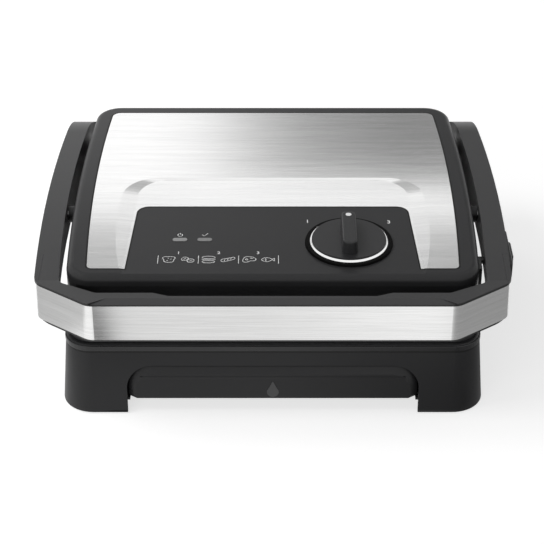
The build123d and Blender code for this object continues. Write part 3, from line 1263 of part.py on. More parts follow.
def make_handle_shell():
    """Top shell of the handle: front bar and both arms in one moulding."""
    shell = handle_body() - handle_cavity()
    shell -= band_ring(SHEET + BAND_PLAY, BAND_PLAY)
    pocket = cap_zone(0)
    shell -= pocket + mirrored(pocket)
    for part in (hinge_bore(), pivot_bore()):
        shell -= part + mirrored(part)
    return shell - lock_slot()


def hinge_bore():
    return rod_x(HINGE_PIN_R + RUN, EAR_X, ARM_BAR_X + 2 * LAP, HINGE_Y, HINGE_Z)


def pivot_bore():
    outer = ARM_BAR_X + ARM_BAR_THICK + PIN_BORE_END
    return rod_x(PIVOT_PIN_R + RUN, LID_HALF_MIDDLE, outer, PIVOT_Y, PIVOT_Z)


def lock_slot():
    """Slot through the right arm for the lock's tab, as long as its travel."""
    reach = LOCK_TAB_HALF_WIDTH + LOCK_TAB_PLAY
    half = LOCK_TAB_HALF_HEIGHT + LOCK_TAB_PLAY
    front = LOCK_TAB_Y - LOCK_TRAVEL - reach
    return box_between((CATCH_X, front, LOCK_Z - half), (FAR, LOCK_TAB_Y + reach, LOCK_Z + half))


def under_cover_solid():
    """Thin plate that follows the underside of the handle, inside its walls."""
    fit = HANDLE_WALL + SEAM
    slab = upright(handle_outer(fit) - handle_inner(fit), 0, FAR)
    slab -= behind_lid(fit, FAR)
    profile = side_prism(handle_profile())
    skin = profile - Pos(0, 0, COVER_PLATE) * profile
    high = HANDLE_TOP_FRONT - DEEP / 2
    return slab & skin & box_between((-FAR, HANDLE_FRONT + fit, 0), (FAR, ARM_COVER_END - SEAM, high))


def handle_screw_spots():
    """Places of the screws along the front bar, from left to right."""
    return [HANDLE_SCREW_SPACING * (i - 1.5) for i in range(4)]


def make_under_cover_front():
    """Under cover of the front bar."""
    cover = under_cover_solid() - box_between((-FAR, COVER_SPLIT, 0), (FAR, FAR, FAR))
    for x in handle_screw_spots():
        cover -= Pos(x, HANDLE_FRONT + HANDLE_SCREW_IN, HANDLE_LOW) * Cylinder(HANDLE_SCREW_R + RUN, DEEP)
    return cover


def make_under_cover_arm():
    """Under cover of the right arm."""
    return under_cover_solid() & box_between((0, COVER_SPLIT + SEAM, 0), (FAR, FAR, FAR))


def make_corner_cap():
    """Small cap over the joint of arm and front bar."""
    cap = handle_body() & cap_zone(-SEAM / 2)
    return cap - band_ring(SHEET + 2 * BAND_PLAY, 2 * BAND_PLAY)


def make_arm_bar():
    """Steel bar inside the arm, lapped once, from the hinge to just past the lid's pivot."""
    bend = (HINGE_Y - ARM_BAR_LAP_RUN, PIVOT_Z - ARM_BAR_LAP_DROP)
    tip = (LOCK_TAB_Y + ARM_BAR_TIP_GAP, PIVOT_Z + ARM_BAR_TIP_RISE)
    radii = [ARM_BAR_LAP_R, ARM_BAR_PIVOT_R, ARM_BAR_TIP_R]
    bar = link_plate([bend, (PIVOT_Y, PIVOT_Z), tip], radii, ARM_BAR_X, ARM_BAR_THICK)
    rear_x = ARM_BAR_X - ARM_BAR_THICK
    bar += link_plate([(HINGE_Y, HINGE_Z), bend], [ARM_BAR_END_R, ARM_BAR_LAP_R], rear_x, ARM_BAR_THICK)
    bar -= rod_x(HINGE_PIN_R + RUN, rear_x - LAP, FAR, HINGE_Y, HINGE_Z)
    return bar - rod_x(PIVOT_PIN_R + RUN, rear_x - LAP, FAR, PIVOT_Y, PIVOT_Z)


def make_pivot_pin():
    """Headed pin that carries the lid from the arm."""
    outer = ARM_BAR_X + ARM_BAR_THICK + PIN_CLEAR
    pin = rod_x(PIVOT_PIN_R, LID_HALF_MIDDLE - PIVOT_PIN_DEPTH, outer, PIVOT_Y, PIVOT_Z)
    return pin + rod_x(PIVOT_PIN_R + PIN_HEAD_EXTRA, outer, outer + PIN_HEAD, PIVOT_Y, PIVOT_Z)


def make_hinge_bush():
    """Flanged bush that keeps the arm clear of the ear."""
    low = EAR_X + EAR_THICK + BUSH_GAP
    high = ARM_INNER_AT_HINGE - SEAT
    ring = rod_x(HINGE_PIN_R + BUSH_EXTRA, low, high, HINGE_Y, HINGE_Z)
    return ring - rod_x(HINGE_PIN_R + RUN, low - LAP, high + LAP, HINGE_Y, HINGE_Z)


def make_handle_screws():
    """Countersunk screws up through the front under cover."""
    z = HANDLE_LOW + COVER_PLATE / 2
    y = HANDLE_FRONT + HANDLE_SCREW_IN
    return [Pos(x, y, z) * Cylinder(HANDLE_SCREW_R, HANDLE_SCREW_HEAD) for x in handle_screw_spots()]


# ---------------------------------------------------------------- side lock
def make_lock_bezel():
    """Frame on the outside of the right arm that guides the lock button."""
    x0 = HANDLE_HALF_MIDDLE - LOCK_BEZEL_ROOT
    x1 = HANDLE_HALF_MIDDLE + LOCK_BEZEL
    frame = box_between(
        (x0, LOCK_FRONT, LOCK_Z - LOCK_HALF_HEIGHT), (x1, LOCK_BACK, LOCK_Z + LOCK_HALF_HEIGHT))
    frame = fillet(frame.edges().filter_by(Axis.X), LOCK_BEZEL_ROUND)
    frame = fillet(frame.faces().sort_by(Axis.X)[-1].edges(), LOCK_BEZEL_EDGE)
    reach = LOCK_BUTTON_LENGTH / 2 + LOCK_WINDOW_PLAY
    frame -= box_between(
        (x0 - LAP, LOCK_BUTTON_Y - reach - LOCK_TRAVEL, LOCK_Z - LOCK_WINDOW_HALF),
        (x1 + LAP, LOCK_BUTTON_Y + reach, LOCK_Z + LOCK_WINDOW_HALF))
    return frame - Pos(SEAT, 0, 0) * handle_body()


def make_lock_button():
    """Ribbed slider on the outside of the arm."""
    x0 = HANDLE_HALF_MIDDLE + LOCK_BUTTON_LIFT
    x1 = HANDLE_HALF_MIDDLE + LOCK_BUTTON_REACH
    half = LOCK_BUTTON_LENGTH / 2
    button = box_between(
        (x0, LOCK_BUTTON_Y - half, LOCK_Z - LOCK_BUTTON_HALF_HEIGHT),
        (x1, LOCK_BUTTON_Y + half, LOCK_Z + LOCK_BUTTON_HALF_HEIGHT))
    button = fillet(button.faces().sort_by(Axis.X)[-1].edges(), LOCK_BUTTON_ROUND)
    first = LOCK_BUTTON_Y - GRIP_GROOVE_PITCH * (GRIP_GROOVES - 1) / 2
    for i in range(GRIP_GROOVES):
        groove = Box(2 * GRIP_GROOVE_DEPTH, GRIP_GROOVE_WIDTH, GRIP_GROOVE_LENGTH)
        button -= Pos(x1, first + i * GRIP_GROOVE_PITCH, LOCK_Z) * groove
    return button


def make_lock_tab():
    """Steel tongue that reaches across the arm to the catch."""
    low = (CATCH_X + LOCK_TAB_END, LOCK_TAB_Y - LOCK_TAB_HALF_WIDTH, LOCK_Z - LOCK_TAB_HALF_HEIGHT)
    outer = HANDLE_HALF_MIDDLE + LOCK_BUTTON_LIFT
    return box_between(low, (outer, LOCK_TAB_Y + LOCK_TAB_HALF_WIDTH, LOCK_Z + LOCK_TAB_HALF_HEIGHT))


# ---------------------------------------------------------------- knob pieces
def knob_frame():
    return panel_plane(KNOB_LIFT) * Pos(KNOB_X, KNOB_Y - COVER_FRONT, 0)


def turned(*points):
    """Ring turned about the knob's axis from a section drawn as (radius, height)."""
    return knob_frame() * revolve(Plane.XZ * make_face(Polyline(*points, close=True)), Axis.Z)


def make_knob_skirt():
    """Black flange under the chrome ring."""
    inner = KNOB_SKIRT_R - KNOB_SKIRT_WALL
    top_r = KNOB_SKIRT_R - KNOB_SKIRT_FLARE
    return turned((inner, 0), (KNOB_SKIRT_R, 0), (top_r, KNOB_SKIRT_H), (inner, KNOB_SKIRT_H))


def make_knob_ring():
    """Chrome ring round the cap."""
    inner = KNOB_RING_R - KNOB_RING_WIDTH
    low = KNOB_SKIRT_H + KNOB_FILM
    return turned(
        (inner, low), (KNOB_RING_R + KNOB_RING_FLARE, low), (KNOB_RING_R, KNOB_RING_H),
        (inner + KNOB_RING_LEAN, KNOB_RING_H))


def make_knob_cap():
    """Disc with the raised grip bar across it and the socket for the spindle."""
    disc = Pos(0, 0, KNOB_SKIRT_H + KNOB_FILM + KNOB_CAP_H / 2) * Cylinder(KNOB_CAP_R, KNOB_CAP_H)
    low = KNOB_SKIRT_H + GRIP_SINK
    foot = RectangleRounded(GRIP_WIDTH + GRIP_FLARE, GRIP_LENGTH + GRIP_FLARE_LENGTH, GRIP_FOOT_CORNER)
    crest = RectangleRounded(GRIP_WIDTH, GRIP_LENGTH, GRIP_CORNER)
    grip = loft([Plane.XY.offset(low) * foot, Plane.XY.offset(low + GRIP_HEIGHT) * crest])
    grip = fillet(grip.edges().group_by(Axis.Z)[-1], GRIP_ROUND)
    socket = Cylinder(SHAFT_R + RUN, 2 * SOCKET_DEPTH)
    dot = Pos(0, GRIP_LENGTH / 2 - DOT_INSET, low + GRIP_HEIGHT) * Cylinder(DOT_R, 2 * DOT_DEPTH)
    return knob_frame() * (disc + grip - socket - dot)


def make_knob_pointer():
    """White dot let into the far end of the grip."""
    top = KNOB_SKIRT_H + GRIP_SINK + GRIP_HEIGHT + DOT_PROUD
    dot = Pos(0, GRIP_LENGTH / 2 - DOT_INSET, top - DOT_DEPTH / 2) * Cylinder(DOT_R - DOT_FIT, DOT_DEPTH)
    return knob_frame() * dot


def make_knob_spindle():
    """Thermostat spindle that turns with the knob."""
    return extrude(knob_place(SPINDLE_DEPTH) * Circle(SHAFT_R), SPINDLE_DEPTH + SPINDLE_RISE)


# ---------------------------------------------------------------- assembly
def build():
    """Every piece of the grill by name."""
    arm_cover = make_under_cover_arm()
    ear = make_hinge_ear()
    hinge_pin = make_hinge_pin()
    cap = make_corner_cap()
    bar = make_arm_bar()
    pivot_pin = make_pivot_pin()
    bush = make_hinge_bush()
    lower_heater_z = lower_plate_bottom() - HEATER_R - SEAT
    upper_heater_z = UPPER_PLATE_TOP + HEATER_R + SEAT
    return {
        "base_housing": make_base_housing(),
        "base_bay": make_base_bay(),
        "base_rim": make_base_rim(),
        "lower_plate": make_lower_plate(),
        "lower_heater": plate_heater(LOWER_FRONT, LOWER_BACK, LOWER_HALF, lower_heater_z),
        "lower_reflector": make_lower_reflector(),
        "thermal_fuse": make_thermal_fuse(),
        "terminal_block": make_terminal_block(),
        "cord_gland": make_cord_gland(),
        "cord_clamp": make_cord_clamp(),
        "rubber_feet": make_rubber_feet(),
        "base_screws": make_base_screws(),
        "hinge_ears": [ear, mirrored(ear)],
        "hinge_pins": [hinge_pin, mirrored(hinge_pin)],
        "lock_catch": make_lock_catch(),
        "drip_tray": make_drip_tray(),
        "handle_shell": make_handle_shell(),
        "handle_under_cover": make_under_cover_front(),
        "arm_cover_right": arm_cover - lock_slot(),
        "arm_cover_left": mirrored(arm_cover),
        "steel_band": band_ring(SHEET, 0),
        "corner_cap_right": cap,
        "corner_cap_left": mirrored(cap),
        "arm_bar_right": bar,
        "arm_bar_left": mirrored(bar),
        "pivot_pins": [pivot_pin, mirrored(pivot_pin)],
        "hinge_bushes": [bush, mirrored(bush)],
        "handle_screws": make_handle_screws(),
        "lock_bezel": make_lock_bezel(),
        "lock_button": make_lock_button(),
        "lock_tab": make_lock_tab(),
        "lid_frame": make_lid_frame(),
        "lid_skirt": make_lid_skirt(),
        "steel_cover": make_steel_cover(),
        "power_lens": make_lens(LENS_X[0]),
        "ready_lens": make_lens(LENS_X[1]),
        "power_lamp": make_lamp(LENS_X[0]),
        "ready_lamp": make_lamp(LENS_X[1]),
        "lamp_holder": make_lamp_holder(),
        "thermostat": make_thermostat(),
        "thermostat_bracket": make_thermostat_bracket(),
        "upper_plate": make_upper_plate(),
        "upper_heater": plate_heater(UPPER_FRONT, UPPER_BACK, UPPER_HALF, upper_heater_z),
        "upper_reflector": make_upper_reflector(),
        "knob_skirt": make_knob_skirt(),
        "knob_ring": make_knob_ring(),
        "knob_cap": make_knob_cap(),
        "knob_pointer": make_knob_pointer(),
        "knob_spindle": make_knob_spindle(),
    }


def solids_of(piece):
    """Flat list of a piece's solids."""
    if isinstance(piece, list):
        return [solid for item in piece for solid in item.solids()]
    return list(piece.solids())


os.makedirs("parts", exist_ok=True)
for name, piece in build().items():
    export_step(Compound(children=solids_of(piece)), f"parts/{name}.step")
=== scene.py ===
import math
import bmesh
import bpy
from mathutils import Matrix, Vector


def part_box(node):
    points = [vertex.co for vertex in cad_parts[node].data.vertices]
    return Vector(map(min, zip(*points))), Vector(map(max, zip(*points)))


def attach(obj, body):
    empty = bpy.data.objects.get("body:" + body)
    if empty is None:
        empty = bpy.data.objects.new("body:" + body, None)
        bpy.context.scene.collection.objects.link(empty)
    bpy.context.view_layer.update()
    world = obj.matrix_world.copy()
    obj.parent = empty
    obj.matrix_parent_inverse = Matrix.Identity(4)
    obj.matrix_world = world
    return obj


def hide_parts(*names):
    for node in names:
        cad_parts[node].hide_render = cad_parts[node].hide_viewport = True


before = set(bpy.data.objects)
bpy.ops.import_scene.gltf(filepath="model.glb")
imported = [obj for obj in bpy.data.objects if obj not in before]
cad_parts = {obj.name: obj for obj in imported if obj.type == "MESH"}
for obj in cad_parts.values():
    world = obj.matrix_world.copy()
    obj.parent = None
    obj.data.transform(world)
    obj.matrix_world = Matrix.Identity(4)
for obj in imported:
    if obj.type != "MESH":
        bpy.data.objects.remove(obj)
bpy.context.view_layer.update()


# The camera: a long lens in front of the grill that looks down on it from 33 degrees, as in a
# catalogue picture.
FOCAL_PX = 1680
PHOTO_PX = 544
SENSOR_MM = 36
CAMERA_PLACE = (0, -1.2188, 0.8286)
CAMERA_TILT = math.radians(57)
lens = bpy.data.cameras.new("camera")
lens.sensor_width = SENSOR_MM
lens.lens = FOCAL_PX / PHOTO_PX * SENSOR_MM
lens.shift_x = -0.0015
lens.clip_end = 100
camera = bpy.data.objects.new("camera", lens)
camera.location = CAMERA_PLACE
camera.rotation_euler = (CAMERA_TILT, 0, 0)
bpy.context.scene.collection.objects.link(camera)
bpy.context.scene.camera = camera
bpy.context.scene.view_settings.view_transform = "Standard"


# The studio: a wide pale table top in a white room, with soft boxes above, behind and in front.
# Graded cards stand out of sight behind the grill and lie on the table before it, so that the steel
# runs from bright on the left to grey on the right, as a product photographer sets it.
class Wire:
    """A socket in a finish, so that the finish's maths reads as plain sums and products."""

    def __init__(self, finish, socket):
        self.finish = finish
        self.socket = socket

    def _maths(self, operation, first, second):
        return self.finish.node("ShaderNodeMath", {"operation": operation}, {0: first, 1: second})

    def __add__(self, other):
        return self._maths("ADD", self, other)

    def __mul__(self, other):
        return self._maths("MULTIPLY", self, other)

    def __sub__(self, other):
        return self._maths("SUBTRACT", self, other)

    def __rsub__(self, other):
        return self._maths("SUBTRACT", other, self)

    def __truediv__(self, other):
        return self._maths("DIVIDE", self, other)

    def __gt__(self, other):
        return self._maths("GREATER_THAN", self, other)

    def __lt__(self, other):
        return self._maths("LESS_THAN", self, other)

    __radd__ = __add__
    __rmul__ = __mul__


class Nodes:
    """The nodes of a material or of the world, added one by one, which end in one shader."""

    def __init__(self, owner, shader):
        owner.use_nodes = True
        self.tree = owner.node_tree
        self.shader = self.tree.nodes[shader]

    def node(self, kind, settings=None, sockets=None, output=0):
        """Adds a node: its settings first, then the values or wires of its sockets."""
        node = self.tree.nodes.new(kind)
        for key, value in (settings or {}).items():
            if key == "stops":
                stops = node.color_ramp.elements
                while len(stops) < len(value):
                    stops.new(1.0)
                for stop, (place, level) in zip(stops, value):
                    stop.position = place
                    stop.color = (level, level, level, 1)
            else:
                setattr(node, key, value)
        for key, value in (sockets or {}).items():
            if isinstance(value, Wire):
                self.tree.links.new(value.socket, node.inputs[key])
            else:
                node.inputs[key].default_value = value
        return Wire(self, node.outputs[output])

    def feed(self, key, value):
        """Gives a value or a wire to one of the shader's sockets."""
        if isinstance(value, Wire):
            self.tree.links.new(value.socket, self.shader.inputs[key])
        else:
            self.shader.inputs[key].default_value = value

    def seen(self):
        """1 for rays from the camera, from gloss and through glass, and 0 for those that only light."""
        by_camera, by_gloss, by_glass = (
            self.node("ShaderNodeLightPath", output=output)
            for output in ("Is Camera Ray", "Is Glossy Ray", "Is Transmission Ray"))
        return by_camera + by_gloss + by_glass


class Finish(Nodes):
    """One material of the grill or the studio."""

    SLANT_ABOUT = -0.31     # the Y in metres at which slanting lines stand at their own X

    def __init__(self, name, sockets=None):
        self.material = bpy.data.materials.new(name)
        super().__init__(self.material, "Principled BSDF")
        for key, value in (sockets or {}).items():
            self.feed(key, value)

    def place(self, scale=(1, 1, 1)):
        """The object's own coordinates, stretched by scale."""
        coordinates = self.node("ShaderNodeTexCoord", output="Object")
        return self.node("ShaderNodeMapping", None, {"Vector": coordinates, "Scale": scale})

    def along(self, axis):
        """How far along X, Y or Z, in metres."""
        return self.node("ShaderNodeSeparateXYZ", None, {0: self.place()}, output=axis)

    def noise(self, scale, detail=2.0, roughness=0.5):
        """Cloudy pattern with features of 1 / scale metres, the same or one for each axis."""
        if not isinstance(scale, tuple):
            scale = (scale, scale, scale)
        return self.node(
            "ShaderNodeTexNoise", None,
            {"Vector": self.place(scale), "Scale": 1.0, "Detail": detail, "Roughness": roughness})

    def blend(self, amount, dark, light):
        """Colour between two, by amount."""
        first = dark if isinstance(dark, Wire) else (*dark, 1)
        second = light if isinstance(light, Wire) else (*light, 1)
        return self.node("ShaderNodeMix", {"data_type": "RGBA"}, {0: amount, 6: first, 7: second}, output=2)

    def ramp(self, amount, stops):
        return self.node("ShaderNodeValToRGB", {"stops": stops}, {0: amount})

    def graded(self, low, high, slant, stops):
        """Grey levels at places in metres along X, on lines that slant with Y."""
        span = high - low
        across = self.along(0) - slant * (self.along(1) - self.SLANT_ABOUT)
        return self.ramp((across - low) / span, [((at - low) / span, level) for at, level in stops])

    def emboss(self, height, distance):
        """Shallow relief from a height wire."""
        self.feed("Normal", self.node("ShaderNodeBump", None, {"Height": height, "Distance": distance}))


def card(name, width, depth, place, turn, finish):
    """Flat studio card, centred at place."""
    bm = bmesh.new()
    bmesh.ops.create_grid(bm, x_segments=1, y_segments=1, size=0.5)
    bmesh.ops.scale(bm, vec=(width, depth, 1), verts=bm.verts)
    bmesh.ops.transform(bm, matrix=Matrix.Translation(place) @ turn, verts=bm.verts)
    mesh = bpy.data.meshes.new(name)
    bm.to_mesh(mesh)
    bm.free()
    mesh.materials.append(finish.material)
    obj = bpy.data.objects.new(name, mesh)
    bpy.context.scene.collection.objects.link(obj)
    return obj


def facing(place, target):
    """Turn of a card or lamp that stands at place and looks at target."""
    return (Vector(target) - Vector(place)).to_track_quat("-Z", "Y").to_matrix().to_4x4()


UPRIGHT = Matrix.Rotation(math.radians(90), 4, "X")
FLAT = Matrix.Identity(4)
TABLE_SIZE = 60
TABLE_COLOUR = (0.47, 0.47, 0.47, 1)
TABLE_LIFT = (0.69, 0.69, 0.69)
table_top = Finish("table_top", {"Base Color": TABLE_COLOUR, "Roughness": 0.9, "Specular IOR Level": 0.0})
table_top.feed("Emission Color", table_top.blend(table_top.seen(), (0, 0, 0), TABLE_LIFT))
table_top.feed("Emission Strength", 1.0)
card("table_top", TABLE_SIZE, TABLE_SIZE, (0, 0, 0), FLAT, table_top)

ROOM_LIGHT = 0.28
white_room = bpy.data.worlds.new("white_room")
bpy.context.scene.world = white_room
room = Nodes(white_room, "Background")
room.feed("Color", (1, 1, 1, 1))
room.feed("Strength", room.node(
    "ShaderNodeMapRange", None, {"Value": room.seen(), "To Min": ROOM_LIGHT, "To Max": 1.0}))


def soft_box(name, place, target, width, height, watts):
    """Rectangular studio lamp."""
    lamp = bpy.data.lights.new(name, "AREA")
    lamp.shape = "RECTANGLE"
    lamp.size = width
    lamp.size_y = height
    lamp.energy = watts
    obj = bpy.data.objects.new(name, lamp)
    obj.matrix_world = Matrix.Translation(place) @ facing(place, target)
    obj.visible_glossy = False
    bpy.context.scene.collection.objects.link(obj)


soft_box("key_box", (-1.3, -0.2, 1.7), (0, 0, 0.05), 1.3, 1.1, 24)
soft_box("back_box", (-1.2, 1.9, 1.1), (0, 0, 0.1), 1.2, 1.4, 14)
soft_box("fill_box", (-0.9, -1.9, 1.0), (0, 0, 0.05), 1.4, 1.0, 11)


WIDE_CARD_HALF = 1.4
BEHIND_Y = 1.6
BEND_SLANT = 0.235          # how far the cards' lines lean in X for each metre of Y


def glowing(name, width, depth, place, turn, stops, slant=0.0, power=1.0):
    """Card that glows in grey levels from left to right, and only shows in gloss."""
    finish = Finish(name, {"Base Color": (0, 0, 0, 1), "Roughness": 1.0, "Specular IOR Level": 0.0,
                           "Emission Strength": power})
    finish.feed("Emission Color", finish.graded(-WIDE_CARD_HALF, WIDE_CARD_HALF, slant, stops))
    obj = card(name, width, depth, place, turn, finish)
    obj.visible_camera = False
    obj.visible_diffuse = False
    obj.visible_shadow = False


glowing("behind_card", 2 * WIDE_CARD_HALF, 0.64, (0, BEHIND_Y, 0.75), UPRIGHT, [
    (-0.9, 0.8), (-0.34, 1.0), (-0.24, 1.0), (-0.14, 0.9), (-0.04, 0.56), (0.05, 0.36), (0.14, 0.28),
    (0.24, 0.22), (0.9, 0.17)], power=1.15)
glowing("middle_card", 2 * WIDE_CARD_HALF, 0.18, (0, BEHIND_Y, 1.165), UPRIGHT, [
    (-0.9, 0.5), (-0.44, 0.9), (-0.2, 0.9), (-0.1, 1.0), (0.42, 1.0), (0.9, 0.6)], power=1.3)
glowing("above_card", 2 * WIDE_CARD_HALF, 1.2, (0, BEHIND_Y, 1.86), UPRIGHT, [
    (-0.9, 0.45), (-0.2, 0.5), (0.2, 0.54), (0.9, 0.2)])
glowing("before_card_left", 0.5, 0.42, (-0.25, -0.25, 0.0015), FLAT, [
    (-0.45, 0.5), (-0.303, 0.58), (-0.29, 1.0), (-0.175, 1.0), (-0.166, 0.08), (-0.15, 0.06), (-0.1435, 0.55),
    (-0.138, 0.78), (0.0, 0.82)], BEND_SLANT)
glowing("before_card_right", 0.5, 0.42, (0.25, -0.25, 0.0015), FLAT, [
    (0.0, 0.82), (0.08, 0.94), (0.13, 1.0), (0.16, 1.0), (0.19, 0.4), (0.24, 0.33), (0.45, 0.3)], -BEND_SLANT)
glowing("near_card", 0.36, 0.1, (0, -0.2, 0.003), FLAT, [
    (-0.18, 0.9), (0.0, 0.95), (0.08, 0.55), (0.18, 0.15)])


# The base: a charcoal injection-moulded housing on four legs, with a screwed-on under cover that
# forms the tray's bay.  The moulds leave a fine satin grain; a dark line of painted shade runs round
# below the rim, for the shadow in the groove under the rim's bead.
def dress(finish, *nodes):
    """Gives CAD nodes a finish."""
    for name in nodes:
        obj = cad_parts[name]
        if not obj.material_slots:
            obj.data.materials.append(finish.material)
        for slot in obj.material_slots:
            slot.material = finish.material


CLOUDS = 18
GRAINS = 2600
# Near-black of the painted shade in grooves and gaps.
PAINTED_SHADE_BLACK = (0.002, 0.002, 0.002)


def moulded(name, dark, light, roughness, grain=0.00002, specular=0.4, painted_shade_band=None):
    """Satin injection-moulded plastic: mould grain, cloudy unevenness and sometimes a near-black band between
    two heights, painted shade for a groove or gap.
    """
    finish = Finish(name, {"Specular IOR Level": specular})
    cloud = finish.noise(CLOUDS, 3.0)
    speck = finish.noise(GRAINS, 1.0)
    colour = finish.blend(0.7 * cloud + 0.3 * speck, dark, light)
    # Painted shade: a near-black band between the two heights, for the shadow in a groove or gap.
    if painted_shade_band:
        height = finish.along(2)
        colour = finish.blend((height > painted_shade_band[0]) * (height < painted_shade_band[1]), colour, PAINTED_SHADE_BLACK)
    finish.feed("Base Color", colour)
    finish.feed("Roughness", roughness - 0.04 + 0.08 * cloud)
    finish.emboss(speck, grain)
    return finish


# The band 56.2 to 57.8 mm high is painted near-black: painted shade for the groove under the rim's bead.
housing_plastic = moulded(
    "housing_plastic", (0.013, 0.013, 0.014), (0.020, 0.020, 0.021), 0.42, specular=0.3, painted_shade_band=(0.0562, 0.0578))
bay_plastic = moulded("bay_plastic", (0.012, 0.012, 0.013), (0.018, 0.018, 0.019), 0.5)
dress(housing_plastic, "base_housing")
dress(bay_plastic, "base_bay", "base_rim", "cord_clamp", "lamp_holder", "hinge_bushes")
foot_rubber = moulded("foot_rubber", (0.010, 0.010, 0.010), (0.018, 0.018, 0.018), 0.75, 0.00004)
dress(foot_rubber, "rubber_feet", "cord_gland")


# The rim's bead: the black rim clips over the housing's top edge with a rounded bead, a little
# glossier than the housing, that runs right round it under the handle.
BEAD_LOW = 0.0578
BEAD_HIGH = 0.0626
BEAD_PROUD = 0.0006
BEAD_THICK = 0.0016
HOUSING_HALF = 0.16436 + BEAD_PROUD
HOUSING_FRONT = -0.14586 - BEAD_PROUD
HOUSING_BACK = 0.15186 + BEAD_PROUD
HOUSING_CORNERS = (0.0214, 0.0134)
CORNER_SEGMENTS = 10
BEAD_ROUNDING = 0.0007
BEAD_ROUNDING_SEGMENTS = 3
BEAD_EDGE_ANGLE = 1.2       # radians: the bead's own edges turn more than this, its bends less


def finished(name, bm, finish, body):
    """Turns a bmesh into a piece of the grill that rides on a body."""
    bmesh.ops.recalc_face_normals(bm, faces=bm.faces)
    mesh = bpy.data.meshes.new(name)
    bm.to_mesh(mesh)
    bm.free()
    mesh.materials.append(finish.material)
    piece = bpy.data.objects.new(name, mesh)
    bpy.context.scene.collection.objects.link(piece)
    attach(piece, body)
    return piece


def rounded(bm, parts, radius, segments, affect):
    """Rounds edges, or the corners of a flat outline."""
    bmesh.ops.bevel(
        bm, geom=parts, offset=radius, offset_type="OFFSET", affect=affect, segments=segments, profile=0.5,
        material=-1)


def raised(bm, height):
    """Gives a flat outline a thickness."""
    risen = bmesh.ops.extrude_face_region(bm, geom=bm.faces[:])
    tops = [item for item in risen["geom"] if isinstance(item, bmesh.types.BMVert)]
    bmesh.ops.translate(bm, vec=(0, 0, height), verts=tops)


bm = bmesh.new()
corners = [bm.verts.new((x, y, BEAD_LOW)) for x, y in (
    (-HOUSING_HALF, HOUSING_FRONT), (HOUSING_HALF, HOUSING_FRONT), (HOUSING_HALF, HOUSING_BACK),
    (-HOUSING_HALF, HOUSING_BACK))]
bm.faces.new(corners)
for pair, radius in ((corners[:2], HOUSING_CORNERS[0]), (corners[2:], HOUSING_CORNERS[1])):
    rounded(bm, pair, radius, CORNER_SEGMENTS, "VERTICES")
bmesh.ops.inset_region(bm, faces=bm.faces[:], thickness=BEAD_THICK, use_even_offset=True, use_boundary=True)
middle = max(bm.faces, key=lambda face: face.calc_area())
bmesh.ops.delete(bm, geom=[middle], context="FACES")
raised(bm, BEAD_HIGH - BEAD_LOW)
bmesh.ops.recalc_face_normals(bm, faces=bm.faces)
bead_edges = [
    edge for edge in bm.edges if len(edge.link_faces) == 2 and edge.calc_face_angle() > BEAD_EDGE_ANGLE]
rounded(bm, bead_edges, BEAD_ROUNDING, BEAD_ROUNDING_SEGMENTS, "EDGES")
rim_gloss = moulded("rim_gloss", (0.010, 0.010, 0.011), (0.016, 0.016, 0.017), 0.28, 0.00001, 0.5)
finished("rim_bead", bm, rim_gloss, "base")


# Plain metal parts: pressed steel ears, catch and reflectors, zinc-coated screws, turned pins and
# the tubular heating elements, whose sheath has gone brown-grey from its first firing.
def metal(name, dark, light, roughness, scale, bump=0.00001):
    """Bare metal, with rolling or turning marks along the axes of its smaller scales."""
    finish = Finish(name, {"Metallic": 1.0})
    marks = finish.noise(scale, 4.0, 0.6)
    finish.feed("Base Color", finish.blend(marks, dark, light))
    finish.feed("Roughness", roughness - 0.06 + 0.12 * marks)
    finish.emboss(marks, bump)
    return finish


sheet_steel = metal("sheet_steel", (0.42, 0.42, 0.42), (0.58, 0.58, 0.57), 0.38, (60, 900, 900))
screw_steel = metal("screw_steel", (0.35, 0.35, 0.35), (0.5, 0.5, 0.5), 0.35, (1500, 1500, 300))
pin_steel = metal("pin_steel", (0.5, 0.5, 0.5), (0.66, 0.66, 0.66), 0.25, (2500, 300, 300))
dark_steel = metal("dark_steel", (0.05, 0.05, 0.05), (0.09, 0.09, 0.09), 0.45, (60, 900, 900))
heater_tube = metal("heater_tube", (0.16, 0.14, 0.13), (0.28, 0.26, 0.25), 0.5, 120)
dress(sheet_steel, "hinge_ears", "lower_reflector", "upper_reflector", "thermal_fuse",
      "thermostat_bracket", "arm_bar_left", "arm_bar_right")
dress(dark_steel, "lock_catch", "lock_tab")
dress(screw_steel, "base_screws", "handle_screws")
dress(pin_steel, "hinge_pins", "pivot_pins", "knob_spindle")
dress(heater_tube, "lower_heater", "upper_heater")
ceramic = moulded("ceramic", (0.62, 0.6, 0.55), (0.74, 0.72, 0.67), 0.6, 0.00003)
dress(ceramic, "terminal_block", "thermostat")


# The cooking plates: die-cast aluminium with parallel ribs under a dark non-stick coating, which
# is faintly speckled and shines softly on the ribs' crests.
coating = Finish("plate_coating", {"Specular IOR Level": 0.6})
speckle = coating.noise(3000)
patch = coating.noise(14)
coating.feed("Base Color", coating.blend(
    0.5 * speckle + 0.5 * patch, (0.012, 0.012, 0.012), (0.035, 0.034, 0.033)))
coating.feed("Roughness", 0.28 + 0.14 * patch)
coating.emboss(speckle, 0.00003)
dress(coating, "lower_plate", "upper_plate")


# The drip tray: a charcoal moulding whose front panel closes the arch between the front legs, with
# a shallow raised droplet in its middle to show what it is for.
TRAY_FACE_Y = -0.151
TRAY_LEAN = math.radians(4.9)
DROPLET_FOOT = 0.0157
DROPLET_R = 0.0048
DROPLET_HEIGHT = 0.0143
DROPLET_PROUD = 0.00025
DROPLET_TAPER = 0.62        # the share of its width that the droplet loses by its tip
# The band 41.6 to 43.1 mm high is painted near-black: painted shade for the gap under the arch between the
# front legs.
tray_plastic = moulded(
    "tray_plastic", (0.013, 0.013, 0.014), (0.020, 0.020, 0.021), 0.4, specular=0.3, painted_shade_band=(0.0416, 0.0431))
dress(tray_plastic, "drip_tray")

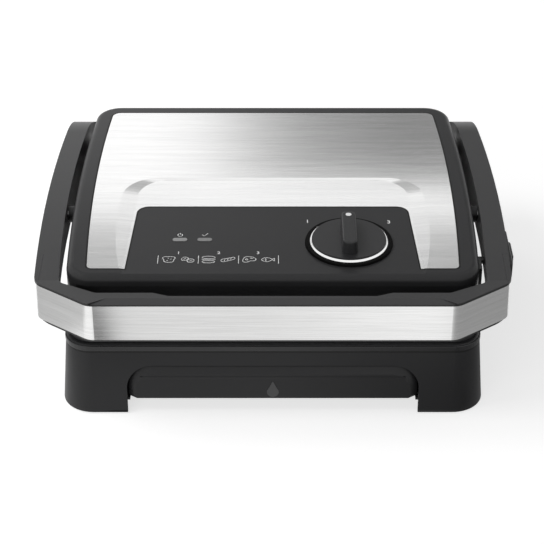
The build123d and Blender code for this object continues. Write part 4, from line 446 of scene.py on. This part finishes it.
bm = bmesh.new()
bmesh.ops.create_circle(bm, cap_ends=True, segments=48, radius=DROPLET_R)
tip_stretch = (DROPLET_HEIGHT - DROPLET_R) / DROPLET_R
for vert in bm.verts:
    rise = max(vert.co.y / DROPLET_R, 0)
    vert.co.x *= 1 - DROPLET_TAPER * rise * rise
    vert.co.y *= 1 + (tip_stretch - 1) * rise * rise
raised(bm, 2 * DROPLET_PROUD)
on_tray = (
    Matrix.Translation((0, TRAY_FACE_Y, 0)) @ Matrix.Rotation(math.radians(90) - TRAY_LEAN, 4, "X")
    @ Matrix.Translation((0, DROPLET_FOOT + DROPLET_R, -DROPLET_PROUD)))
bmesh.ops.transform(bm, matrix=on_tray, verts=bm.verts)
droplet_plastic = moulded("droplet_plastic", (0.055, 0.055, 0.056), (0.085, 0.085, 0.087), 0.35)
finished("tray_droplet", bm, droplet_plastic, "tray")


# The handle: one dark grey shell for the front bar and both arms, with snap-in under covers and
# small corner caps.  The same satin moulding as the lid's frame, lighter where the light grazes it.
handle_plastic = moulded("handle_plastic", (0.037, 0.037, 0.038), (0.049, 0.049, 0.050), 0.38, specular=0.3)
dress(handle_plastic, "handle_shell", "handle_under_cover", "arm_cover_left", "arm_cover_right",
      "corner_cap_left", "corner_cap_right")


# The handle's band: a strip of stainless steel sheet let into the front bar and bent round both
# corners.  It is brushed along its length, and a black lacquered edge hides its cut top.
LACQUER_BLACK = (0.004, 0.004, 0.004)
LACQUER_DEPTH = 0.0011


def brushed(name, dark, light, roughness, lines, coarse, spread, edge=None):
    """Brushed stainless steel: fine parallel lines over slower bands, and lacquer above edge."""
    finish = Finish(name)
    fine = finish.noise(lines, 6.0, 0.65)
    slow = finish.noise(coarse, 3.0, 0.6)
    mix = 0.65 * fine + 0.35 * slow
    colour = finish.blend(finish.ramp(mix, [(0.3, 0.0), (0.7, 1.0)]), dark, light)
    sheen = roughness - spread / 2 + spread * fine
    if edge:
        lacquer = finish.along(2) > edge
        finish.feed("Base Color", finish.blend(lacquer, colour, LACQUER_BLACK))
        finish.feed("Metallic", 1 - lacquer)
        finish.feed("Roughness", sheen + 0.2 * lacquer)
    else:
        finish.feed("Base Color", colour)
        finish.feed("Metallic", 1.0)
        finish.feed("Roughness", sheen)
    finish.emboss(fine, 0.000005)
    return finish


band_steel = brushed(
    "band_steel", (0.76, 0.76, 0.755), (0.95, 0.95, 0.945), 0.19, (22, 22, 1500), (8, 8, 260), 0.1,
    edge=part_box("steel_band")[1].z - LACQUER_DEPTH)
dress(band_steel, "steel_band")


# The side lock: a black slider in its bezel on the right arm, which pushes a steel tongue under the
# catch beside the lid.
lock_plastic = moulded("lock_plastic", (0.020, 0.020, 0.021), (0.030, 0.030, 0.031), 0.42)
dress(lock_plastic, "lock_bezel", "lock_button")


# The lid: a dark grey moulded frame whose front part is the control panel, closed below by a black
# skirt that holds the upper plate.
lid_plastic = moulded("lid_plastic", (0.021, 0.021, 0.022), (0.029, 0.029, 0.030), 0.34, specular=0.22)
dress(lid_plastic, "lid_frame")
dress(bay_plastic, "lid_skirt")


# The lid's cover: one sheet of stainless steel, brushed across the lid and pressed down round the
# control panel.  A thin near-black strip lies in the gap between its rim and the moulding: a dark
# sheet of painted shade that stands for the dark of that gap.
cover_steel = brushed(
    "cover_steel", (0.78, 0.78, 0.78), (0.97, 0.97, 0.965), 0.17, (22, 1400, 22), (7, 170, 7), 0.1)
dress(cover_steel, "steel_cover")

GAP_SHADE_WIDTH = 0.0012
GAP_SHADE_LAP = 0.0006
GAP_SHADE_PROUD = 0.00006
UPRIGHT_ENOUGH = 0.35       # faces whose normal rises more than this are the cover's top or bottom
bm = bmesh.new()
bm.from_mesh(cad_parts["steel_cover"].data)
bmesh.ops.remove_doubles(bm, verts=bm.verts, dist=1e-6)
level_faces = [face for face in bm.faces if abs(face.normal.z) > UPRIGHT_ENOUGH]
bmesh.ops.delete(bm, geom=level_faces, context="FACES")
for vert in bm.verts:
    vert.co -= GAP_SHADE_LAP * vert.normal
bmesh.ops.solidify(bm, geom=bm.faces[:], thickness=-GAP_SHADE_WIDTH)
bmesh.ops.translate(bm, vec=(0, 0, GAP_SHADE_PROUD), verts=bm.verts)
# Near-black finish of the strip in the gap round the cover: painted shade.
gap_shade_black = moulded("gap_shade_black", (0.003, 0.003, 0.003), (0.006, 0.006, 0.006), 0.5, specular=0.2)
finished("cover_gap_shade", bm, gap_shade_black, "lid")


# The lamps: two pill-shaped lenses of frosted plastic, clipped into the panel from below, with a neon
# lamp under each.
def frosted(name, dark, light):
    """Frosted plastic or glass, unevenly hazy."""
    finish = Finish(name, {"Specular IOR Level": 0.5, "Coat Weight": 0.2})
    haze = finish.noise(900)
    finish.feed("Base Color", finish.blend(haze, dark, light))
    finish.feed("Roughness", 0.3 + 0.1 * haze)
    finish.emboss(haze, 0.00002)
    return finish


dress(frosted("power_glass", (0.20, 0.20, 0.20), (0.30, 0.30, 0.30)), "power_lens", "power_lamp")
dress(frosted("ready_glass", (0.15, 0.15, 0.15), (0.24, 0.24, 0.24)), "ready_lens", "ready_lamp")


# The panel's print: pale grey line drawings of foods over the settings 1 to 3, separated by short
# strokes, a sign over each lamp and the dial's numbers.  It is pad-printed on the moulding.
PANEL_SLOPE = math.radians(1.1)
PANEL_FRONT = Vector((0, -0.123, 0.1196))
PRINT_HALF = 0.0003
PRINT_PROUD = 0.00003
FONT_PER_FIGURE = 1.38      # the size of a font over the height of its figures
FIGURE_BOLDNESS = 0.00006


def on_panel(x, y):
    """Turn and place of a print at x, y millimetres, flat on the sloping panel."""
    height = PANEL_FRONT.z + (y / 1000 - PANEL_FRONT.y) * math.tan(PANEL_SLOPE)
    return Matrix.Translation((x / 1000, y / 1000, height)) @ Matrix.Rotation(PANEL_SLOPE, 4, "X")


def as_mesh(curve):
    """Mesh of a curve or a figure, before it is placed."""
    obj = bpy.data.objects.new(curve.name, curve)
    bpy.context.scene.collection.objects.link(obj)
    bpy.context.view_layer.update()
    mesh = bpy.data.meshes.new_from_object(obj.evaluated_get(bpy.context.evaluated_depsgraph_get()))
    bpy.data.objects.remove(obj)
    return mesh


def printed(bm, mesh, x, y):
    """Adds a mesh to the print, at x, y on the panel."""
    mesh.transform(on_panel(x, y))
    bm.from_mesh(mesh)
    bpy.data.meshes.remove(mesh)


def stroke(bm, kind, closed, points, x, y):
    """Printed line through points, in millimetres from x, y."""
    curve = bpy.data.curves.new("stroke", "CURVE")
    curve.dimensions = "3D"
    curve.bevel_depth = PRINT_HALF
    curve.bevel_resolution = 0
    curve.resolution_u = 6
    line = curve.splines.new(kind)
    line.points.add(len(points) - 1)
    for point, (across, up) in zip(line.points, points):
        point.co = (across / 1000, up / 1000, 0, 1)
    line.use_cyclic_u = closed
    if kind == "NURBS":
        line.order_u = 3
        line.use_endpoint_u = not closed
    mesh = as_mesh(curve)
    mesh.transform(Matrix.Diagonal((1, 1, PRINT_PROUD / PRINT_HALF, 1)))
    printed(bm, mesh, x, y)


def figure(bm, character, height, x, y):
    """Printed number, with its height and place in millimetres."""
    text = bpy.data.curves.new("figure", "FONT")
    text.body = character
    text.size = height / 1000 * FONT_PER_FIGURE
    text.align_x = "CENTER"
    text.align_y = "CENTER"
    text.extrude = PRINT_PROUD
    text.offset = FIGURE_BOLDNESS
    printed(bm, as_mesh(text), x, y)


BREAD = [
    (True, [
        (-3.6, -4), (3.6, -4), (3.9, 0.2), (5.4, 2.2), (3.6, 4.4), (0, 4.0), (-3.6, 4.4), (-5.4, 2.2),
        (-3.9, 0.2)]),
    (False, [(-1.9, -1.7), (-0.8, -1.2)]), (False, [(1, 0.6), (2, 0.9)]), (False, [(-1, 1.9), (0.2, 1.6)])]
ROLLS = [
    (True, [(-5.3, 0.8), (-3.4, 3.6), (-0.3, 3.3), (0.8, 1), (-1, -1.0), (-4.4, -1.2)]),
    (True, [(-0.8, -1.6), (1, 0.9), (4.2, 0.9), (5.5, -1.2), (3.8, -3.9), (0.4, -3.8)]),
    (False, [(-3.4, 0.2), (-1.4, 1.8)]), (False, [(1.4, -2.2), (3.4, -0.6)])]
SANDWICH = [
    (True, [(-5.4, 1.5), (-4.8, 4.0), (-2, 4.8), (2, 4.8), (4.8, 4.0), (5.4, 1.5)]),
    (False, [(-5.3, 0.5), (-3.4, -0.8), (-1.6, 0.8), (0.2, -0.8), (2, 0.8), (3.8, -0.8), (5.3, 0.5)]),
    (True, [(-5.2, -1.5), (5.2, -1.5), (4.6, -4.4), (0, -4.7), (-4.6, -4.4)])]
SAUSAGE = [
    (True, [
        (-5.4, -2.2), (-5.0, 0.6), (-1.5, 1.4), (2, 2.4), (5.0, 3.8), (5.9, 1.2), (3.6, -0.4), (0, -1.9),
        (-3.6, -3.4)]),
    (False, [(-2.8, -1.9), (-2.2, 0.2)]), (False, [(-0.3, -1.0), (0.4, 1.0)]),
    (False, [(2.1, 0.2), (2.8, 2.1)])]
STEAK = [
    (True, [
        (-5.4, -0.5), (-3.9, 3.6), (-0.5, 4.4), (3.4, 3.2), (5.6, 0.7), (4.2, -1.9), (1, -1.5), (-1.6, -3.9),
        (-4.9, -3.5)]),
    (True, [(-3.4, 0.2), (-2.2, 1.5), (-1.0, 0.2), (-2.2, -1.1)]), (False, [(0.4, 2.1), (3.0, 1.2)])]
FISH = [
    (True, [(-5.5, 0), (-3.4, 2.6), (0, 3.1), (2.7, 1.0), (3.5, 0), (2.7, -1.0), (0, -3.1), (-3.4, -2.6)]),
    (False, [(3.1, 0.3), (5.6, 2.7), (4.6, 0), (5.6, -2.7), (3.1, -0.3)]),
    (False, [(-2, 1.8), (-1.3, 0), (-2, -1.8)]), (False, [(-3.6, 0.6), (-3.1, 0.6)])]
FOOD_ROW_Y = -109.5
SETTING_ROW_Y = -100.1
SIGN_ROW_Y = -73.6
POWER_X = -74.1
READY_X = -54.3
SEPARATOR_HALF = 5.7
SETTING_HEIGHT = 3.6
DIAL_HEIGHT = 4.6
MAINS_SIGN = [(-0.9, 1.3), (-2.0, 0.2), (-1.6, -1.9), (0, -2.5), (1.6, -1.9), (2.0, 0.2), (0.9, 1.3)]
bm = bmesh.new()
for food, x in (
        (BREAD, -81.5), (ROLLS, -66.7), (SANDWICH, -50.3), (SAUSAGE, -35.3), (STEAK, -18.3), (FISH, -3.7)):
    for closed, points in food:
        stroke(bm, "NURBS", closed, points, x, FOOD_ROW_Y)
for x in (-90.0, -58.3, -26.8, 4.5):
    stroke(bm, "POLY", False, [(0, -SEPARATOR_HALF), (0, SEPARATOR_HALF)], x, FOOD_ROW_Y)
for character, x in (("1", -74.3), ("2", -42.6), ("3", -11.6)):
    figure(bm, character, SETTING_HEIGHT, x, SETTING_ROW_Y)
for character, x, y in (("1", 28.1, -53.8), ("3", 93.9, -54.8)):
    figure(bm, character, DIAL_HEIGHT, x, y)
stroke(bm, "NURBS", False, MAINS_SIGN, POWER_X, SIGN_ROW_Y)
stroke(bm, "POLY", False, [(0, 0), (0, 2.4)], POWER_X, SIGN_ROW_Y)
stroke(bm, "POLY", False, [(-2.2, 0), (-0.6, -1.9), (2.3, 1.9)], READY_X, SIGN_ROW_Y)
print_grey = moulded("print_grey", (0.78, 0.78, 0.78), (0.9, 0.9, 0.9), 0.6, 0.00001)
finished("panel_print", bm, print_grey, "lid")


# The heat knob: a black cap with a raised grip across it and a white dot at the grip's far end, in
# a polished ring that slopes outwards, over a gloss black skirt.
knob_plastic = moulded("knob_plastic", (0.016, 0.016, 0.017), (0.024, 0.024, 0.025), 0.36, specular=0.35)
dress(knob_plastic, "knob_cap")
skirt_plastic = moulded(
    "skirt_plastic", (0.0006, 0.0006, 0.0006), (0.0014, 0.0014, 0.0014), 0.45, specular=0.05)
dress(skirt_plastic, "knob_skirt")
pointer_white = moulded("pointer_white", (0.78, 0.78, 0.78), (0.86, 0.86, 0.86), 0.4, 0.00001)
dress(pointer_white, "knob_pointer")

KNOB_CENTRE = (60.5, -85.6)
RING_SEGMENTS = 128
RING_PROFILE = [
    (0.02945, 0.00205), (0.0315, 0.00205), (0.0315, 0.0023), (0.0305, 0.00338), (0.0303, 0.00352),
    (0.0296, 0.00352), (0.02945, 0.0034)]
bm = bmesh.new()
section = [bm.verts.new((radius, 0, height)) for radius, height in RING_PROFILE]
outline = [bm.edges.new((first, second)) for first, second in zip(section, section[1:] + section[:1])]
bmesh.ops.spin(
    bm, geom=section + outline, cent=(0, 0, 0), axis=(0, 0, 1), angle=math.tau, steps=RING_SEGMENTS,
    use_merge=True)
bmesh.ops.remove_doubles(bm, verts=bm.verts, dist=1e-7)
bmesh.ops.transform(bm, matrix=on_panel(*KNOB_CENTRE), verts=bm.verts)
ring_chrome = metal("ring_chrome", (0.86, 0.86, 0.86), (0.94, 0.94, 0.94), 0.1, 400, 0.000002)
polished_ring = finished("polished_ring", bm, ring_chrome, "knob")
for face in polished_ring.data.polygons:
    face.use_smooth = True
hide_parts("knob_ring")
